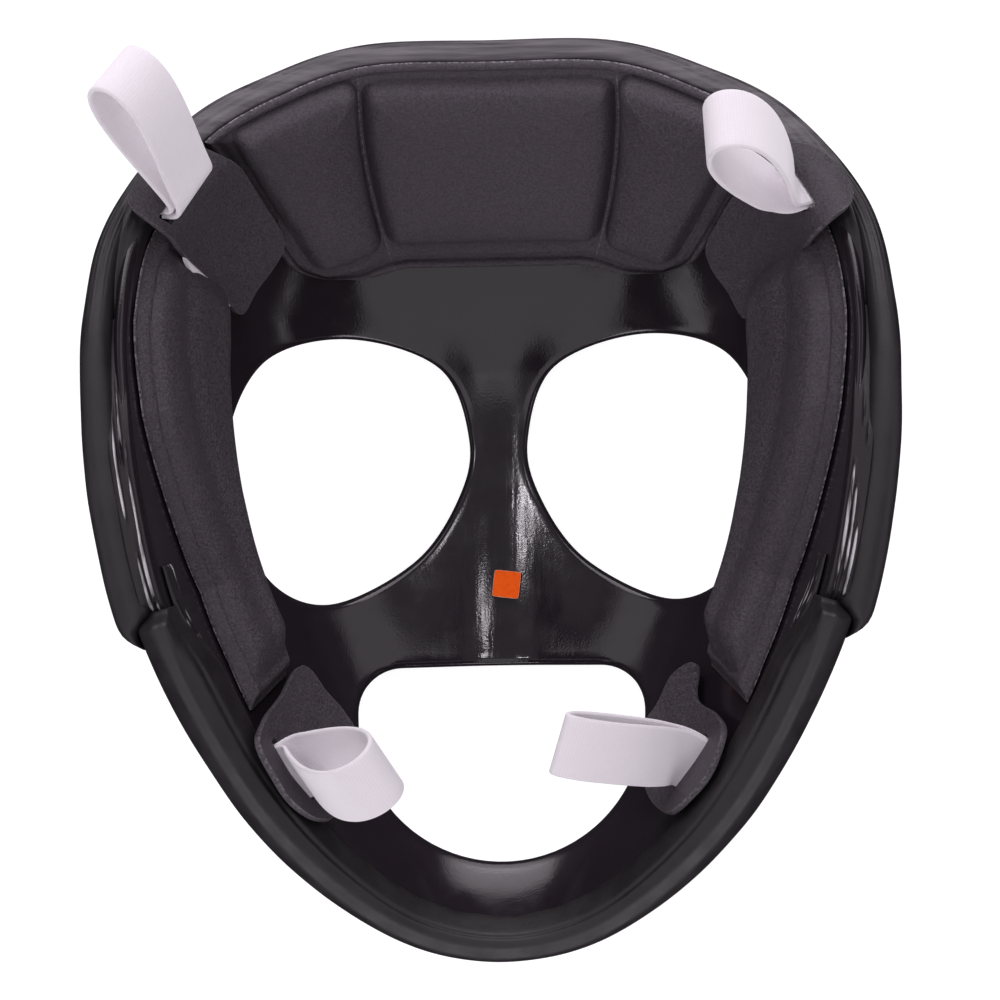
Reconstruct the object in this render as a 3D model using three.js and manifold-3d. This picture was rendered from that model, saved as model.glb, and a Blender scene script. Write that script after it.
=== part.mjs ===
// A wrestling face guard, lying on its front with the wearer's side up.
// +X is the wearer's right, +Y runs from chin to brow, +Z goes from the front to the head.
import * as THREE from 'three';
import { mergeVertices } from 'three/addons/utils/BufferGeometryUtils.js';
import Module from 'manifold-3d';

const manifold = await Module();
manifold.setup();

// Driving dimensions in millimetres.
const WALL = 3.2;
const GAP = 0.4;
const PAD_GAP = 0.6;
const RIM_STEPS = 3;
const FRONT_FLAT = 1.0;
const FRONT_UP = 14;
const NOSE_DEPTH = 3.0;
const NOSE_HALF_WIDTH = 14;
const NOSE_TOP = 56;
const NOSE_END = -62;
const BUMPER_LOW = 0.72;
const BUMPER_PROUD = 1.014;
const BUMPER_END = 8.2;
const BUMPER_END_ROUND = 0.34;
const JAW_START = 8.3;
const JAW_TONGUE = 7.62;
const JAW_OUTER_LOW = 0.835;
const JAW_INNER_LOW = 0.945;
const JAW_TOP = 1.026;
const PAD_FLANGE = 1.6;
const FOREHEAD_END = 3.0;
const FOREHEAD_FLARE = 0.42;
const GROOVE_TOP = 1.08;
const GROOVE_FLARE = 0.8;
const FOREHEAD_TOP = 0.988;
const FOREHEAD_LOW = 58;
const FOREHEAD_THICK = 9;
const SIDE_THICK = 9.5;
const TAB_THICK = 1.6;
const STRAP_WIDTH = 16;
const STRAP_THICK = 1.3;
const STRAP_APART = 0.85;
const STRAP_FOOT = 0.9;
const STRAP_TURN_FROM = 1.6;
const STRAP_TURN_TO = 8;
const DROP_STEPS = 14;
const SLOT_LENGTH = 17;
const SLOT_WIDTH = 3.7;
const LABEL_SIDE = 7;
const LABEL_THICK = 0.6;

// Inner edge of the shell's rim, right half, from the middle of the brow to the chin.
// wrap is how far the wall turns towards upright and fullness is how boxy it is.
// bumper and jaw are foam thicknesses.
const RIM = [
  { across: 0, up: 108.4, rise: 52, wrap: 0.80, fullness: 2.3, bumper: 2.4, jaw: 2.5 },
  { across: 30, up: 107.6, rise: 54, wrap: 0.80, fullness: 2.3, bumper: 2.4, jaw: 2.5 },
  { across: 51, up: 100.2, rise: 59, wrap: 0.83, fullness: 2.4, bumper: 2.8, jaw: 2.5 },
  { across: 69, up: 88.6, rise: 66, wrap: 0.88, fullness: 2.6, bumper: 3.8, jaw: 2.5 },
  { across: 83.4, up: 67.2, rise: 76, wrap: 0.93, fullness: 2.9, bumper: 5.4, jaw: 2.5 },
  { across: 87, up: 45, rise: 84, wrap: 0.96, fullness: 3.2, bumper: 6.8, jaw: 2.5 },
  { across: 86, up: 22, rise: 88, wrap: 0.97, fullness: 3.3, bumper: 8.4, jaw: 2.8 },
  { across: 83.4, up: 0, rise: 88.5, wrap: 0.97, fullness: 3.3, bumper: 9.0, jaw: 3.2 },
  { across: 78.4, up: -24, rise: 86, wrap: 0.965, fullness: 3.2, bumper: 9.4, jaw: 3.6 },
  { across: 69, up: -48, rise: 79, wrap: 0.95, fullness: 3.0, bumper: 9.4, jaw: 3.8 },
  { across: 55.6, up: -72.5, rise: 69, wrap: 0.93, fullness: 2.8, bumper: 9.4, jaw: 3.4 },
  { across: 39.2, up: -91.5, rise: 59, wrap: 0.91, fullness: 2.6, bumper: 9.4, jaw: 2.8 },
  { across: 20.4, up: -104.6, rise: 52, wrap: 0.90, fullness: 2.5, bumper: 9.4, jaw: 2.2 },
  { across: 0, up: -109.0, rise: 50, wrap: 0.90, fullness: 2.4, bumper: 9.4, jaw: 1.9 },
];

// Lines of the shell's grid from the middle to the rim, closer together on the wall.
const WALL_LINES = [0, 0.12, 0.24, 0.35, 0.45, 0.53, 0.6, 0.66, 0.72, 0.78, 0.835, 0.89, 0.945, 1];

// Right eye hole as seen from above, going round from the nose side.
const EYE = [
  { x: 7.7, y: 16 },
  { x: 10.5, y: 1 },
  { x: 22, y: -15.5 },
  { x: 43, y: -26 },
  { x: 58, y: -20.5 },
  { x: 67, y: -2 },
  { x: 68.5, y: 18 },
  { x: 59, y: 37 },
  { x: 38, y: 42.3 },
  { x: 15, y: 34.5 },
];

// Mouth hole: a flat top and a half round below.
const MOUTH = { top: -43, centre: -55, radius: 36.8, corner: 11 };

// Side pad: its two edges as shares of the way from the middle to the rim, at stations along the rim.
const SIDE_PAD = [
  { station: 4.18, outer: 0.975, inner: 0.75 },
  { station: 5, outer: 0.98, inner: 0.74 },
  { station: 6, outer: 0.965, inner: 0.745 },
  { station: 7, outer: 0.925, inner: 0.745 },
  { station: 8, outer: 0.885, inner: 0.735 },
  { station: 8.8, outer: 0.89, inner: 0.735 },
  { station: 9.28, outer: 0.90, inner: 0.76 },
];

// How a pad swells from its edge inwards: share of the way across, share of the full thickness.
const SIDE_ACROSS = [
  { share: 0, swell: 0 },
  { share: 0.10, swell: 0.02 },
  { share: 0.15, swell: 0.62 },
  { share: 0.30, swell: 0.93 },
  { share: 0.55, swell: 1 },
  { share: 0.82, swell: 0.97 },
  { share: 0.95, swell: 0.75 },
  { share: 1, swell: 0.35 },
];
const SIDE_ALONG = [
  { share: 0, swell: 0 },
  { share: 0.04, swell: 0.3 },
  { share: 0.12, swell: 0.85 },
  { share: 0.25, swell: 1 },
  { share: 0.4, swell: 1 },
  { share: 0.55, swell: 1 },
  { share: 0.7, swell: 1 },
  { share: 0.85, swell: 0.9 },
  { share: 0.95, swell: 0.45 },
  { share: 1, swell: 0 },
];
const CELL = [
  { share: 0, swell: 0.16 },
  { share: 0.05, swell: 0.6 },
  { share: 0.16, swell: 0.9 },
  { share: 0.5, swell: 1 },
  { share: 0.84, swell: 0.9 },
  { share: 0.95, swell: 0.6 },
  { share: 1, swell: 0.16 },
];
const WING = [
  { share: 0, swell: 0 },
  { share: 0.11, swell: 0.03 },
  { share: 0.17, swell: 0.55 },
  { share: 0.3, swell: 0.9 },
  { share: 0.55, swell: 1 },
  { share: 0.84, swell: 0.9 },
  { share: 0.95, swell: 0.6 },
  { share: 1, swell: 0.16 },
];
const FOREHEAD_DOWN = [
  { share: 0, swell: 0 },
  { share: 0.07, swell: 0.02 },
  { share: 0.11, swell: 0.6 },
  { share: 0.22, swell: 0.92 },
  { share: 0.5, swell: 1 },
  { share: 0.74, swell: 0.9 },
  { share: 0.84, swell: 0.55 },
  { share: 0.88, swell: 0.02 },
  { share: 1, swell: 0 },
];

// Line of a tab's underside from its rim end inwards: way along it, reach on the wall, height off the wall.
const UPPER_PATH = [
  { way: 0, reach: 1.012, height: -8.6 },
  { way: 4, reach: 1.021, height: -5.0 },
  { way: 9, reach: 1.026, height: -0.5 },
  { way: 13, reach: 1.018, height: 3.0 },
  { way: 17, reach: 1.0, height: 5.2 },
  { way: 21, reach: 0.98, height: 6.0 },
  { way: 27, reach: 0.95, height: 5.7 },
  { way: 37, reach: 0.895, height: 5.0 },
  { way: 50, reach: 0.8, height: 4.4 },
  { way: 58, reach: 0.73, height: 3.9 },
  { way: 66, reach: 0.66, height: 3.2 },
];
const LOWER_PATH = [
  { way: -6, reach: 1.028, height: 4.8 },
  { way: 0, reach: 1.004, height: 5.4 },
  { way: 5, reach: 0.975, height: 5.6 },
  { way: 14, reach: 0.925, height: 5.0 },
  { way: 21, reach: 0.88, height: 4.6 },
  { way: 34, reach: 0.79, height: 3.8 },
  { way: 42, reach: 0.735, height: 3.2 },
  { way: 50, reach: 0.675, height: 2.6 },
];

// Outlines of the tabs: the stations of both sides at ways along the path, and where the slot is.
const TABS = {
  upper_left: {
    side: -1,
    path: UPPER_PATH,
    slot: { station: 3.534, way: 15.5 },
    rows: [
      { way: 5.5, from: 3.38, to: 3.8 },
      { way: 8, from: 3.26, to: 3.89 },
      { way: 12, from: 3.15, to: 3.96 },
      { way: 19, from: 3.12, to: 4.02 },
      { way: 28, from: 3.12, to: 4.08 },
      { way: 40, from: 3.14, to: 4.13 },
      { way: 50, from: 3.2, to: 4.14 },
      { way: 57, from: 3.27, to: 4.15 },
      { way: 62, from: 3.45, to: 4.1 },
    ],
  },
  upper_right: {
    side: 1,
    path: UPPER_PATH,
    slot: { station: 3.611, way: 13.9 },
    rows: [
      { way: 5.5, from: 3.5, to: 3.92 },
      { way: 8, from: 3.38, to: 4.0 },
      { way: 12, from: 3.27, to: 4.08 },
      { way: 19, from: 3.2, to: 4.13 },
      { way: 28, from: 3.18, to: 4.14 },
      { way: 40, from: 3.2, to: 4.15 },
      { way: 50, from: 3.26, to: 4.16 },
      { way: 58, from: 3.36, to: 4.16 },
      { way: 63, from: 3.5, to: 4.1 },
    ],
  },
  lower_left: {
    side: -1,
    path: LOWER_PATH,
    slot: { station: 9.895, way: 8 },
    rows: [
      { way: -3.5, from: 9.64, to: 10.16 },
      { way: -1, from: 9.48, to: 10.34 },
      { way: 4, from: 9.4, to: 10.48 },
      { way: 11, from: 9.36, to: 10.52 },
      { way: 20, from: 9.34, to: 10.52 },
      { way: 30, from: 9.33, to: 10.5 },
      { way: 39, from: 9.33, to: 10.48 },
      { way: 44, from: 9.6, to: 10.3 },
    ],
  },
  lower_right: {
    side: 1,
    path: LOWER_PATH,
    slot: { station: 10.01, way: 13.4 },
    rows: [
      { way: 2.5, from: 9.84, to: 10.24 },
      { way: 5, from: 9.68, to: 10.44 },
      { way: 10, from: 9.55, to: 10.54 },
      { way: 18, from: 9.53, to: 10.62 },
      { way: 26, from: 9.54, to: 10.65 },
      { way: 34, from: 9.54, to: 10.6 },
      { way: 42, from: 9.4, to: 10.5 },
      { way: 47, from: 9.66, to: 10.3 },
    ],
  },
};

// Loops: degrees of the bearing and rise of each loop's line and of the bearing of its strap,
// its length, its half opening and how far its widest place lies towards the tip.
const LOOPS = [
  {
    name: 'upper_loop_left',
    tab: 'upper_left',
    bearing: 119.6,
    rise: 36.3,
    strap: 55.4,
    length: 42.7,
    round: 6.3,
    form: 1.1,
  },
  {
    name: 'upper_loop_right',
    tab: 'upper_right',
    bearing: 142.4,
    rise: 51.6,
    strap: 92.4,
    length: 39,
    round: 7.2,
    form: 0.62,
  },
  {
    name: 'lower_loop_left',
    tab: 'lower_left',
    bearing: -6.4,
    rise: 53.2,
    strap: -58.8,
    length: 36.3,
    round: 7.8,
    form: 0.52,
  },
  {
    name: 'lower_loop_right',
    tab: 'lower_right',
    bearing: 170.8,
    rise: 29.3,
    strap: -106.8,
    length: 40.8,
    round: 5.4,
    form: 0.56,
  },
];

const ROWS = 2 * RIM.length - 2;
const FLOOR = NOSE_DEPTH + WALL - FRONT_FLAT;

// A closed curve through the table's rows, carried on over the mirrored half.
function around(pick) {
  const right = RIM.map((row) => pick(row, 1));
  const left = RIM.slice(1, -1).reverse().map((row) => pick(row, -1));
  return new THREE.CatmullRomCurve3([...right, ...left], true, 'catmullrom', 0.5);
}

const RIM_CURVE = around((row, side) => new THREE.Vector3(side * row.across, row.up, row.rise));
const FORM_CURVE = around((row) => new THREE.Vector3(row.wrap, row.fullness, 0));
const FOAM_CURVE = around((row) => new THREE.Vector3(row.bumper, row.jaw, 0));

function turn(station) {
  return (((station / ROWS) % 1) + 1) % 1;
}

function smooth(from, to, value) {
  return THREE.MathUtils.smoothstep((value - from) / (to - from), 0, 1);
}

function noseDip(x, y) {
  const along = smooth(NOSE_TOP, NOSE_TOP - 24, y) * smooth(NOSE_END, NOSE_END + 16, y);
  return NOSE_DEPTH * Math.exp(-((x / NOSE_HALF_WIDTH) ** 2)) * along;
}

// A point of the shell's inner face: station runs round the rim, reach from the middle (0) to the rim (1).
function wallPoint(station, reach) {
  const rim = RIM_CURVE.getPoint(turn(station));
  const form = FORM_CURVE.getPoint(turn(station));
  const power = 2 / form.y;
  const full = Math.asin(form.x ** (form.y / 2));
  const angle = full * reach ** (form.y / 2);
  const out = Math.sin(angle) ** power / form.x;
  const up = (1 - Math.cos(angle) ** power) / (1 - Math.cos(full) ** power);
  const x = rim.x * out;
  const y = FRONT_UP + (rim.y - FRONT_UP) * out;
  return new THREE.Vector3(x, y, FLOOR + (rim.z - FLOOR) * up - noseDip(x, y));
}

// The reach at which the wall is a given share of the rim's distance from the middle, seen from above.
function reachAt(station, out) {
  const form = FORM_CURVE.getPoint(turn(station));
  const full = Math.asin(form.x ** (form.y / 2));
  return (Math.asin((form.x * out) ** (form.y / 2)) / full) ** (2 / form.y);
}

// The direction out of the inner face, towards the wearer.
function wallNormal(station, reach) {
  if (reach < 0.03) return new THREE.Vector3(0, 0, 1);
  const step = 0.004;
  const along = wallPoint(station + step, reach).sub(wallPoint(station - step, reach));
  const out = wallPoint(station, reach + step).sub(wallPoint(station, reach - step));
  return along.cross(out).normalize();
}

function raised(station, reach, height) {
  return wallPoint(station, reach).addScaledVector(wallNormal(station, reach), height);
}

// Value of a short table at a share, straight between its rows.
function read(table, key, value, column) {
  const last = table.length - 1;
  if (value <= table[0][key]) return table[0][column];
  if (value >= table[last][key]) return table[last][column];
  const index = table.findIndex((row) => row[key] >= value);
  const low = table[index - 1];
  const high = table[index];
  const share = (value - low[key]) / (high[key] - low[key]);
  return low[column] + share * (high[column] - low[column]);
}

// One closed geometry from points and triangles, without the triangles that have no area.
function closed(points, triangles) {
  const rough = new THREE.BufferGeometry().setFromPoints(points);
  rough.setIndex(triangles);
  const merged = mergeVertices(rough, 1e-5);
  const index = Array.from(merged.index.array);
  const kept = [];
  for (let i = 0; i < index.length; i += 3) {
    const [a, b, c] = index.slice(i, i + 3);
    if (a !== b && b !== c && c !== a) kept.push(a, b, c);
  }
  merged.setIndex(kept);
  return merged;
}

// A solid between two sheets of the same grid: top faces the wearer, bottom faces the shell.
function between(top, bottom) {
  const rows = top.length;
  const columns = top[0].length;
  const points = [...top.flat(), ...bottom.flat()];
  const at = (sheet, i, j) => sheet * rows * columns + i * columns + j;
  const triangles = [];
  const quad = (a, b, c, d) => triangles.push(a, b, c, a, c, d);
  for (let i = 0; i < rows - 1; i += 1) {
    for (let j = 0; j < columns - 1; j += 1) {
      quad(at(0, i, j), at(0, i + 1, j), at(0, i + 1, j + 1), at(0, i, j + 1));
      quad(at(1, i, j), at(1, i, j + 1), at(1, i + 1, j + 1), at(1, i + 1, j));
    }
    quad(at(0, i, 0), at(1, i, 0), at(1, i + 1, 0), at(0, i + 1, 0));
    quad(at(0, i, columns - 1), at(0, i + 1, columns - 1), at(1, i + 1, columns - 1), at(1, i, columns - 1));
  }
  for (let j = 0; j < columns - 1; j += 1) {
    quad(at(0, 0, j), at(0, 0, j + 1), at(1, 0, j + 1), at(1, 0, j));
    quad(at(0, rows - 1, j), at(1, rows - 1, j), at(1, rows - 1, j + 1), at(0, rows - 1, j + 1));
  }
  return closed(points, triangles);
}

// A section's outline flattened into its own plane.
function flattened(section) {
  const normal = new THREE.Vector3();
  section.forEach((point, i) => normal.add(point.clone().cross(section[(i + 1) % section.length])));
  const turnBack = new THREE.Quaternion().setFromUnitVectors(normal.normalize(), new THREE.Vector3(0, 0, 1));
  return section.map((point) => {
    const flat = point.clone().applyQuaternion(turnBack);
    return new THREE.Vector2(flat.x, flat.y);
  });
}

// Triangles that close a section, wound the same way as its outline.
function cap(section) {
  const flat = flattened(section);
  const sense = THREE.ShapeUtils.area(flat);
  return THREE.ShapeUtils.triangulateShape(flat, []).map((face) => {
    const same = THREE.ShapeUtils.area(face.map((k) => flat[k])) * sense > 0;
    return same ? face : [...face].reverse();
  });
}

// A solid through a row of sections that all have the same outline order.
function loft(sections) {
  const count = sections[0].length;
  const last = sections.length - 1;
  const triangles = [];
  for (let i = 0; i < last; i += 1) {
    for (let j = 0; j < count; j += 1) {
      const next = (j + 1) % count;
      const [a, b] = [i * count + j, i * count + next];
      const [c, d] = [(i + 1) * count + next, (i + 1) * count + j];
      triangles.push(a, b, c, a, c, d);
    }
  }
  for (const [a, b, c] of cap(sections[0])) triangles.push(c, b, a);
  for (const face of cap(sections[last])) triangles.push(...face.map((k) => last * count + k));
  return closed(sections.flat(), triangles);
}

function toSolid(geometry) {
  const plain = new THREE.BufferGeometry();
  plain.setAttribute('position', geometry.getAttribute('position').clone());
  if (geometry.index) plain.setIndex(geometry.index.clone());
  const merged = mergeVertices(plain, 1e-5);
  const mesh = new manifold.Mesh({
    numProp: 3,
    vertProperties: new Float32Array(merged.getAttribute('position').array),
    triVerts: new Uint32Array(merged.index.array),
  });
  const solid = new manifold.Manifold(mesh);
  return solid.volume() < 0 ? new manifold.Manifold(flipped(mesh)) : solid;
}

function flipped(mesh) {
  const turned = mesh.triVerts.slice();
  for (let i = 0; i < turned.length; i += 3) {
    turned[i] = mesh.triVerts[i + 1];
    turned[i + 1] = mesh.triVerts[i];
  }
  return new manifold.Mesh({ numProp: 3, vertProperties: mesh.vertProperties, triVerts: turned });
}

function toGeometry(solid) {
  const mesh = solid.getMesh();
  const geometry = new THREE.BufferGeometry();
  geometry.setAttribute('position', new THREE.BufferAttribute(mesh.vertProperties, 3));
  geometry.setIndex(new THREE.BufferAttribute(mesh.triVerts, 1));
  return geometry;
}

function fraction(i, count) {
  return i / (count - 1);
}

// The bowl: inner and outer face on the same polar grid, flattened where the front rests.
function shellBlank() {
  const aroundCount = RIM_STEPS * ROWS;
  const last = WALL_LINES.length - 1;
  const inner = [];
  const outer = [];
  for (let j = 0; j <= last; j += 1) {
    const reach = WALL_LINES[j];
    for (let i = 0; i < aroundCount; i += 1) {
      const station = (i / aroundCount) * ROWS;
      const back = raised(station, reach, -WALL);
      back.z = Math.max(back.z, 0);
      inner.push(wallPoint(station, reach));
      outer.push(back);
    }
  }
  const points = [...inner, ...outer];
  const at = (sheet, i, j) => sheet * inner.length + j * aroundCount + (i % aroundCount);
  const triangles = [];
  const quad = (a, b, c, d) => triangles.push(a, b, c, a, c, d);
  for (let i = 0; i < aroundCount; i += 1) {
    for (let j = 0; j < last; j += 1) {
      quad(at(0, i, j), at(0, i + 1, j), at(0, i + 1, j + 1), at(0, i, j + 1));
      quad(at(1, i, j), at(1, i, j + 1), at(1, i + 1, j + 1), at(1, i + 1, j));
    }
    quad(at(0, i, last), at(0, i + 1, last), at(1, i + 1, last), at(1, i, last));
  }
  return toSolid(closed(points, triangles));
}

function prism(shape, depth, steps) {
  return new THREE.ExtrudeGeometry(shape, { depth, bevelEnabled: false, curveSegments: steps });
}

function eyeHole(side) {
  const corners = EYE.map((row) => new THREE.Vector3(side * row.x, row.y, 0));
  const curve = new THREE.CatmullRomCurve3(corners, true, 'catmullrom', 0.5);
  const outline = curve.getPoints(36).slice(0, 36).map((p) => new THREE.Vector2(p.x, p.y));
  return toSolid(prism(new THREE.Shape(outline), 90, 1).translate(0, 0, -10));
}

function mouthHole() {
  const shape = new THREE.Shape();
  const { top, centre, radius, corner } = MOUTH;
  shape.moveTo(-radius, centre);
  shape.absarc(0, centre, radius, Math.PI, 2 * Math.PI, false);
  shape.absarc(radius - corner, top - corner, corner, 0, Math.PI / 2, false);
  shape.absarc(corner - radius, top - corner, corner, Math.PI / 2, Math.PI, false);
  return toSolid(prism(shape, 90, 16).translate(0, 0, -10));
}

function faceShell() {
  const holes = manifold.Manifold.union([eyeHole(-1), eyeHole(1), mouthHole()]);
  return toGeometry(shellBlank().subtract(holes));
}

// The grid lines between two reaches.
function wallLines(from, to) {
  return WALL_LINES.filter((reach) => reach >= from - 1e-6 && reach <= to + 1e-6);
}

// Outer foam band: a rounded section laid against the outside of the rim, with rounded lower ends.
function browBumper() {
  const count = Math.floor((BUMPER_END - 0.25) * RIM_STEPS);
  const stations = Array.from({ length: 2 * count + 1 }, (_, k) => (k - count) / RIM_STEPS);
  const ends = [0.2, 0.1, 0.04, 0].map((left) => BUMPER_END - left);
  const sections = [];
  for (const station of [...ends.map((end) => -end).reverse(), ...stations, ...ends]) {
    const left = Math.min(1, (BUMPER_END - Math.abs(station)) / BUMPER_END_ROUND + 0.03);
    const taper = Math.sqrt(1 - (1 - left) ** 2);
    const thick = FOAM_CURVE.getPoint(turn(station)).x * taper;
    const near = -(WALL + GAP);
    const lines = wallLines(BUMPER_LOW, 1);
    const outline = [
      ...lines.map((reach) => [reach, near]),
      [BUMPER_PROUD, near - 0.22 * thick],
      [BUMPER_PROUD, near - 0.62 * thick],
      [1.0, near - 0.92 * thick],
      ...lines.slice(0, -1).reverse().map((reach) => [reach, near - thick * smooth(0.62, 0.88, reach)]),
    ];
    sections.push(outline.map(([reach, height]) => raised(station, reach, height)));
  }
  return loft(sections);
}

// Lower rim: a channel over the shell's edge, with a tongue on the inside at each upper end.
function jawBand() {
  const first = Math.ceil(JAW_START * RIM_STEPS);
  const inside = Array.from({ length: RIM_STEPS * ROWS - 2 * first + 1 }, (_, k) => (first + k) / RIM_STEPS);
  const sections = [];
  for (const station of [JAW_START, ...inside, ROWS - JAW_START]) {
    const thick = FOAM_CURVE.getPoint(turn(station)).y;
    const back = -(WALL + PAD_GAP);
    const lines = wallLines(JAW_OUTER_LOW, 1);
    const outline = [
      ...lines.map((reach) => [reach, back]),
      [1.004, back],
      [1.004, PAD_GAP],
      [JAW_INNER_LOW, PAD_GAP],
      [JAW_INNER_LOW + 0.005, PAD_GAP + 0.8 * thick],
      [0.985, PAD_GAP + thick],
      [1.012, PAD_GAP + 0.8 * thick],
      [JAW_TOP, PAD_GAP],
      [JAW_TOP, back],
      [1.012, back - thick],
      ...lines.slice(0, -1).reverse().map((reach) => [reach, back - 1.1 * thick * smooth(0.75, 0.93, reach)]),
    ];
    sections.push(outline.map(([reach, height]) => raised(station, reach, height)));
  }
  const channel = toSolid(loft(sections));
  return toGeometry(manifold.Manifold.union([channel, tongue(1), tongue(-1)]));
}

function tongue(side) {
  const count = 6;
  const top = [];
  const bottom = [];
  for (let i = 0; i < count; i += 1) {
    const step = JAW_TONGUE + (JAW_START + 0.1 - JAW_TONGUE) * fraction(i, count);
    const station = side > 0 ? step : ROWS - step;
    const thick = 2.6 * (0.45 + 0.55 * Math.min(1, 2 * fraction(i, count)));
    const reaches = [JAW_INNER_LOW + 0.003, 0.962, 0.98];
    top.push(reaches.map((reach, k) => raised(station, reach, PAD_GAP + thick * (k === 1 ? 1 : 0.6))));
    bottom.push(reaches.map((reach) => raised(station, reach, PAD_GAP + 0.05)));
  }
  return toSolid(between(top, bottom));
}

// Forehead pad: three swollen cells in a thin flange, with a straight lower edge.
function foreheadPad() {
  const farWing = WING.map(({ share, swell }) => ({ share: 1 - share, swell })).reverse();
  const stations = [];
  [WING, CELL, farWing].forEach((rows, cell) => {
    rows.slice(cell === 0 ? 0 : 1).forEach(({ share, swell }) => stations.push({ cell, share, swell }));
  });
  const top = [];
  const bottom = [];
  for (const { cell, share, swell } of stations) {
    const highs = [];
    const lows = [];
    for (const row of FOREHEAD_DOWN) {
      const groove = GROOVE_TOP + GROOVE_FLARE * row.share;
      const end = FOREHEAD_END + FOREHEAD_FLARE * row.share;
      const borders = [-end, -groove, groove, end];
      const station = borders[cell] + share * (borders[cell + 1] - borders[cell]);
      const rimUp = RIM_CURVE.getPoint(turn(station)).y;
      const low = reachAt(station, (FOREHEAD_LOW - FRONT_UP) / (rimUp - FRONT_UP));
      const reach = FOREHEAD_TOP + (low - FOREHEAD_TOP) * row.share;
      const height = PAD_FLANGE + (FOREHEAD_THICK - PAD_FLANGE) * swell * row.swell;
      highs.push(raised(station, reach, PAD_GAP + height));
      lows.push(raised(station, reach, PAD_GAP));
    }
    top.push(highs);
    bottom.push(lows);
  }
  return between(top, bottom);
}

function sidePad(side) {
  const first = SIDE_PAD[0].station;
  const last = SIDE_PAD[SIDE_PAD.length - 1].station;
  const top = [];
  const bottom = [];
  for (let i = 0; i <= 18; i += 1) {
    const share = i / 18;
    const step = first + share * (last - first);
    const station = side > 0 ? step : ROWS - step;
    const outer = read(SIDE_PAD, 'station', step, 'outer');
    const inner = read(SIDE_PAD, 'station', step, 'inner');
    const along = read(SIDE_ALONG, 'share', share, 'swell');
    const highs = [];
    const lows = [];
    for (const row of SIDE_ACROSS) {
      const reach = outer + (inner - outer) * row.share;
      const height = PAD_FLANGE + (SIDE_THICK - PAD_FLANGE) * row.swell * along;
      highs.push(raised(station, reach, PAD_GAP + height));
      lows.push(raised(station, reach, PAD_GAP));
    }
    top.push(highs);
    bottom.push(lows);
  }
  return between(top, bottom);
}

// The same path in short straight steps along a smooth curve.
function finePath(path) {
  const rows = path.map((row) => new THREE.Vector3(row.way, row.reach, row.height));
  const curve = new THREE.CatmullRomCurve3(rows, false, 'catmullrom', 0.5);
  return curve.getPoints(12 * path.length).map((p) => ({ way: p.x, reach: p.y, height: p.z }));
}

function underTab(tab, station, way) {
  const place = tab.side > 0 ? station : ROWS - station;
  const reach = read(tab.fine, 'way', way, 'reach');
  return raised(place, reach, read(tab.fine, 'way', way, 'height'));
}

// Where a tab's underside is, the direction out of it and the direction round the rim.
function onTab(tab, station, way) {
  const point = underTab(tab, station, way);
  const aside = underTab(tab, station + 0.01, way).sub(underTab(tab, station - 0.01, way)).normalize();
  const rimward = underTab(tab, station, way - 0.4).sub(underTab(tab, station, way + 0.4));
  const out = aside.clone().cross(rimward).normalize().multiplyScalar(tab.side);
  return { point, out, aside };
}

for (const tab of Object.values(TABS)) tab.fine = finePath(tab.path);

function tabSolid(tab) {
  const top = [];
  const bottom = [];
  for (let i = 0; i <= 6; i += 1) {
    const highs = [];
    const lows = [];
    for (const row of tab.rows) {
      const { point, out } = onTab(tab, row.from + (i / 6) * (row.to - row.from), row.way);
      lows.push(point);
      highs.push(point.clone().addScaledVector(out, TAB_THICK));
    }
    top.push(highs);
    bottom.push(lows);
  }
  const { point, out, aside } = onTab(tab, tab.slot.station, tab.slot.way);
  const slot = new THREE.BoxGeometry(SLOT_LENGTH, SLOT_WIDTH, 14);
  const place = new THREE.Matrix4().makeBasis(aside, out.clone().cross(aside), out);
  slot.applyMatrix4(place.setPosition(point));
  return toGeometry(toSolid(between(top, bottom)).subtract(toSolid(slot)));
}

// Middle line of a strap as length along and half opening: two stems that widen into a drop.
function teardrop(loop) {
  const start = TAB_THICK + 0.4;
  const widest = (0.5 + loop.form) / (1 + loop.form);
  const peak = 2 * widest ** (0.5 + loop.form) * Math.sqrt(1 - widest);
  const line = [new THREE.Vector2(-STRAP_FOOT, STRAP_APART), new THREE.Vector2(start - 0.6, STRAP_APART)];
  for (let i = 1; i < DROP_STEPS; i += 1) {
    const angle = (Math.PI * i) / DROP_STEPS;
    const share = 0.5 - 0.5 * Math.cos(angle);
    const drop = (Math.sin(angle) * share ** loop.form) / peak;
    const wide = STRAP_APART * Math.sqrt(1 - share ** 6) + (loop.round - STRAP_APART) * drop;
    line.push(new THREE.Vector2(start + (loop.length - start) * share, wide));
  }
  const mirrored = line.slice().reverse().map((p) => new THREE.Vector2(p.x, -p.y));
  return [...line, new THREE.Vector2(loop.length, 0), ...mirrored];
}

// The way a loop points and the way its strap's width runs.
function loopAxes(loop) {
  const [bearing, rise, strap] = [loop.bearing, loop.rise, loop.strap].map(THREE.MathUtils.degToRad);
  const flat = Math.cos(rise);
  const line = new THREE.Vector3(flat * Math.cos(bearing), flat * Math.sin(bearing), Math.sin(rise));
  const width = new THREE.Vector3(Math.cos(strap), Math.sin(strap), 0);
  width.z = -line.dot(width) / line.z;
  return { line, width: width.normalize() };
}

function basis(first, second) {
  return new THREE.Matrix4().makeBasis(first, second, first.clone().cross(second));
}

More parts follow.
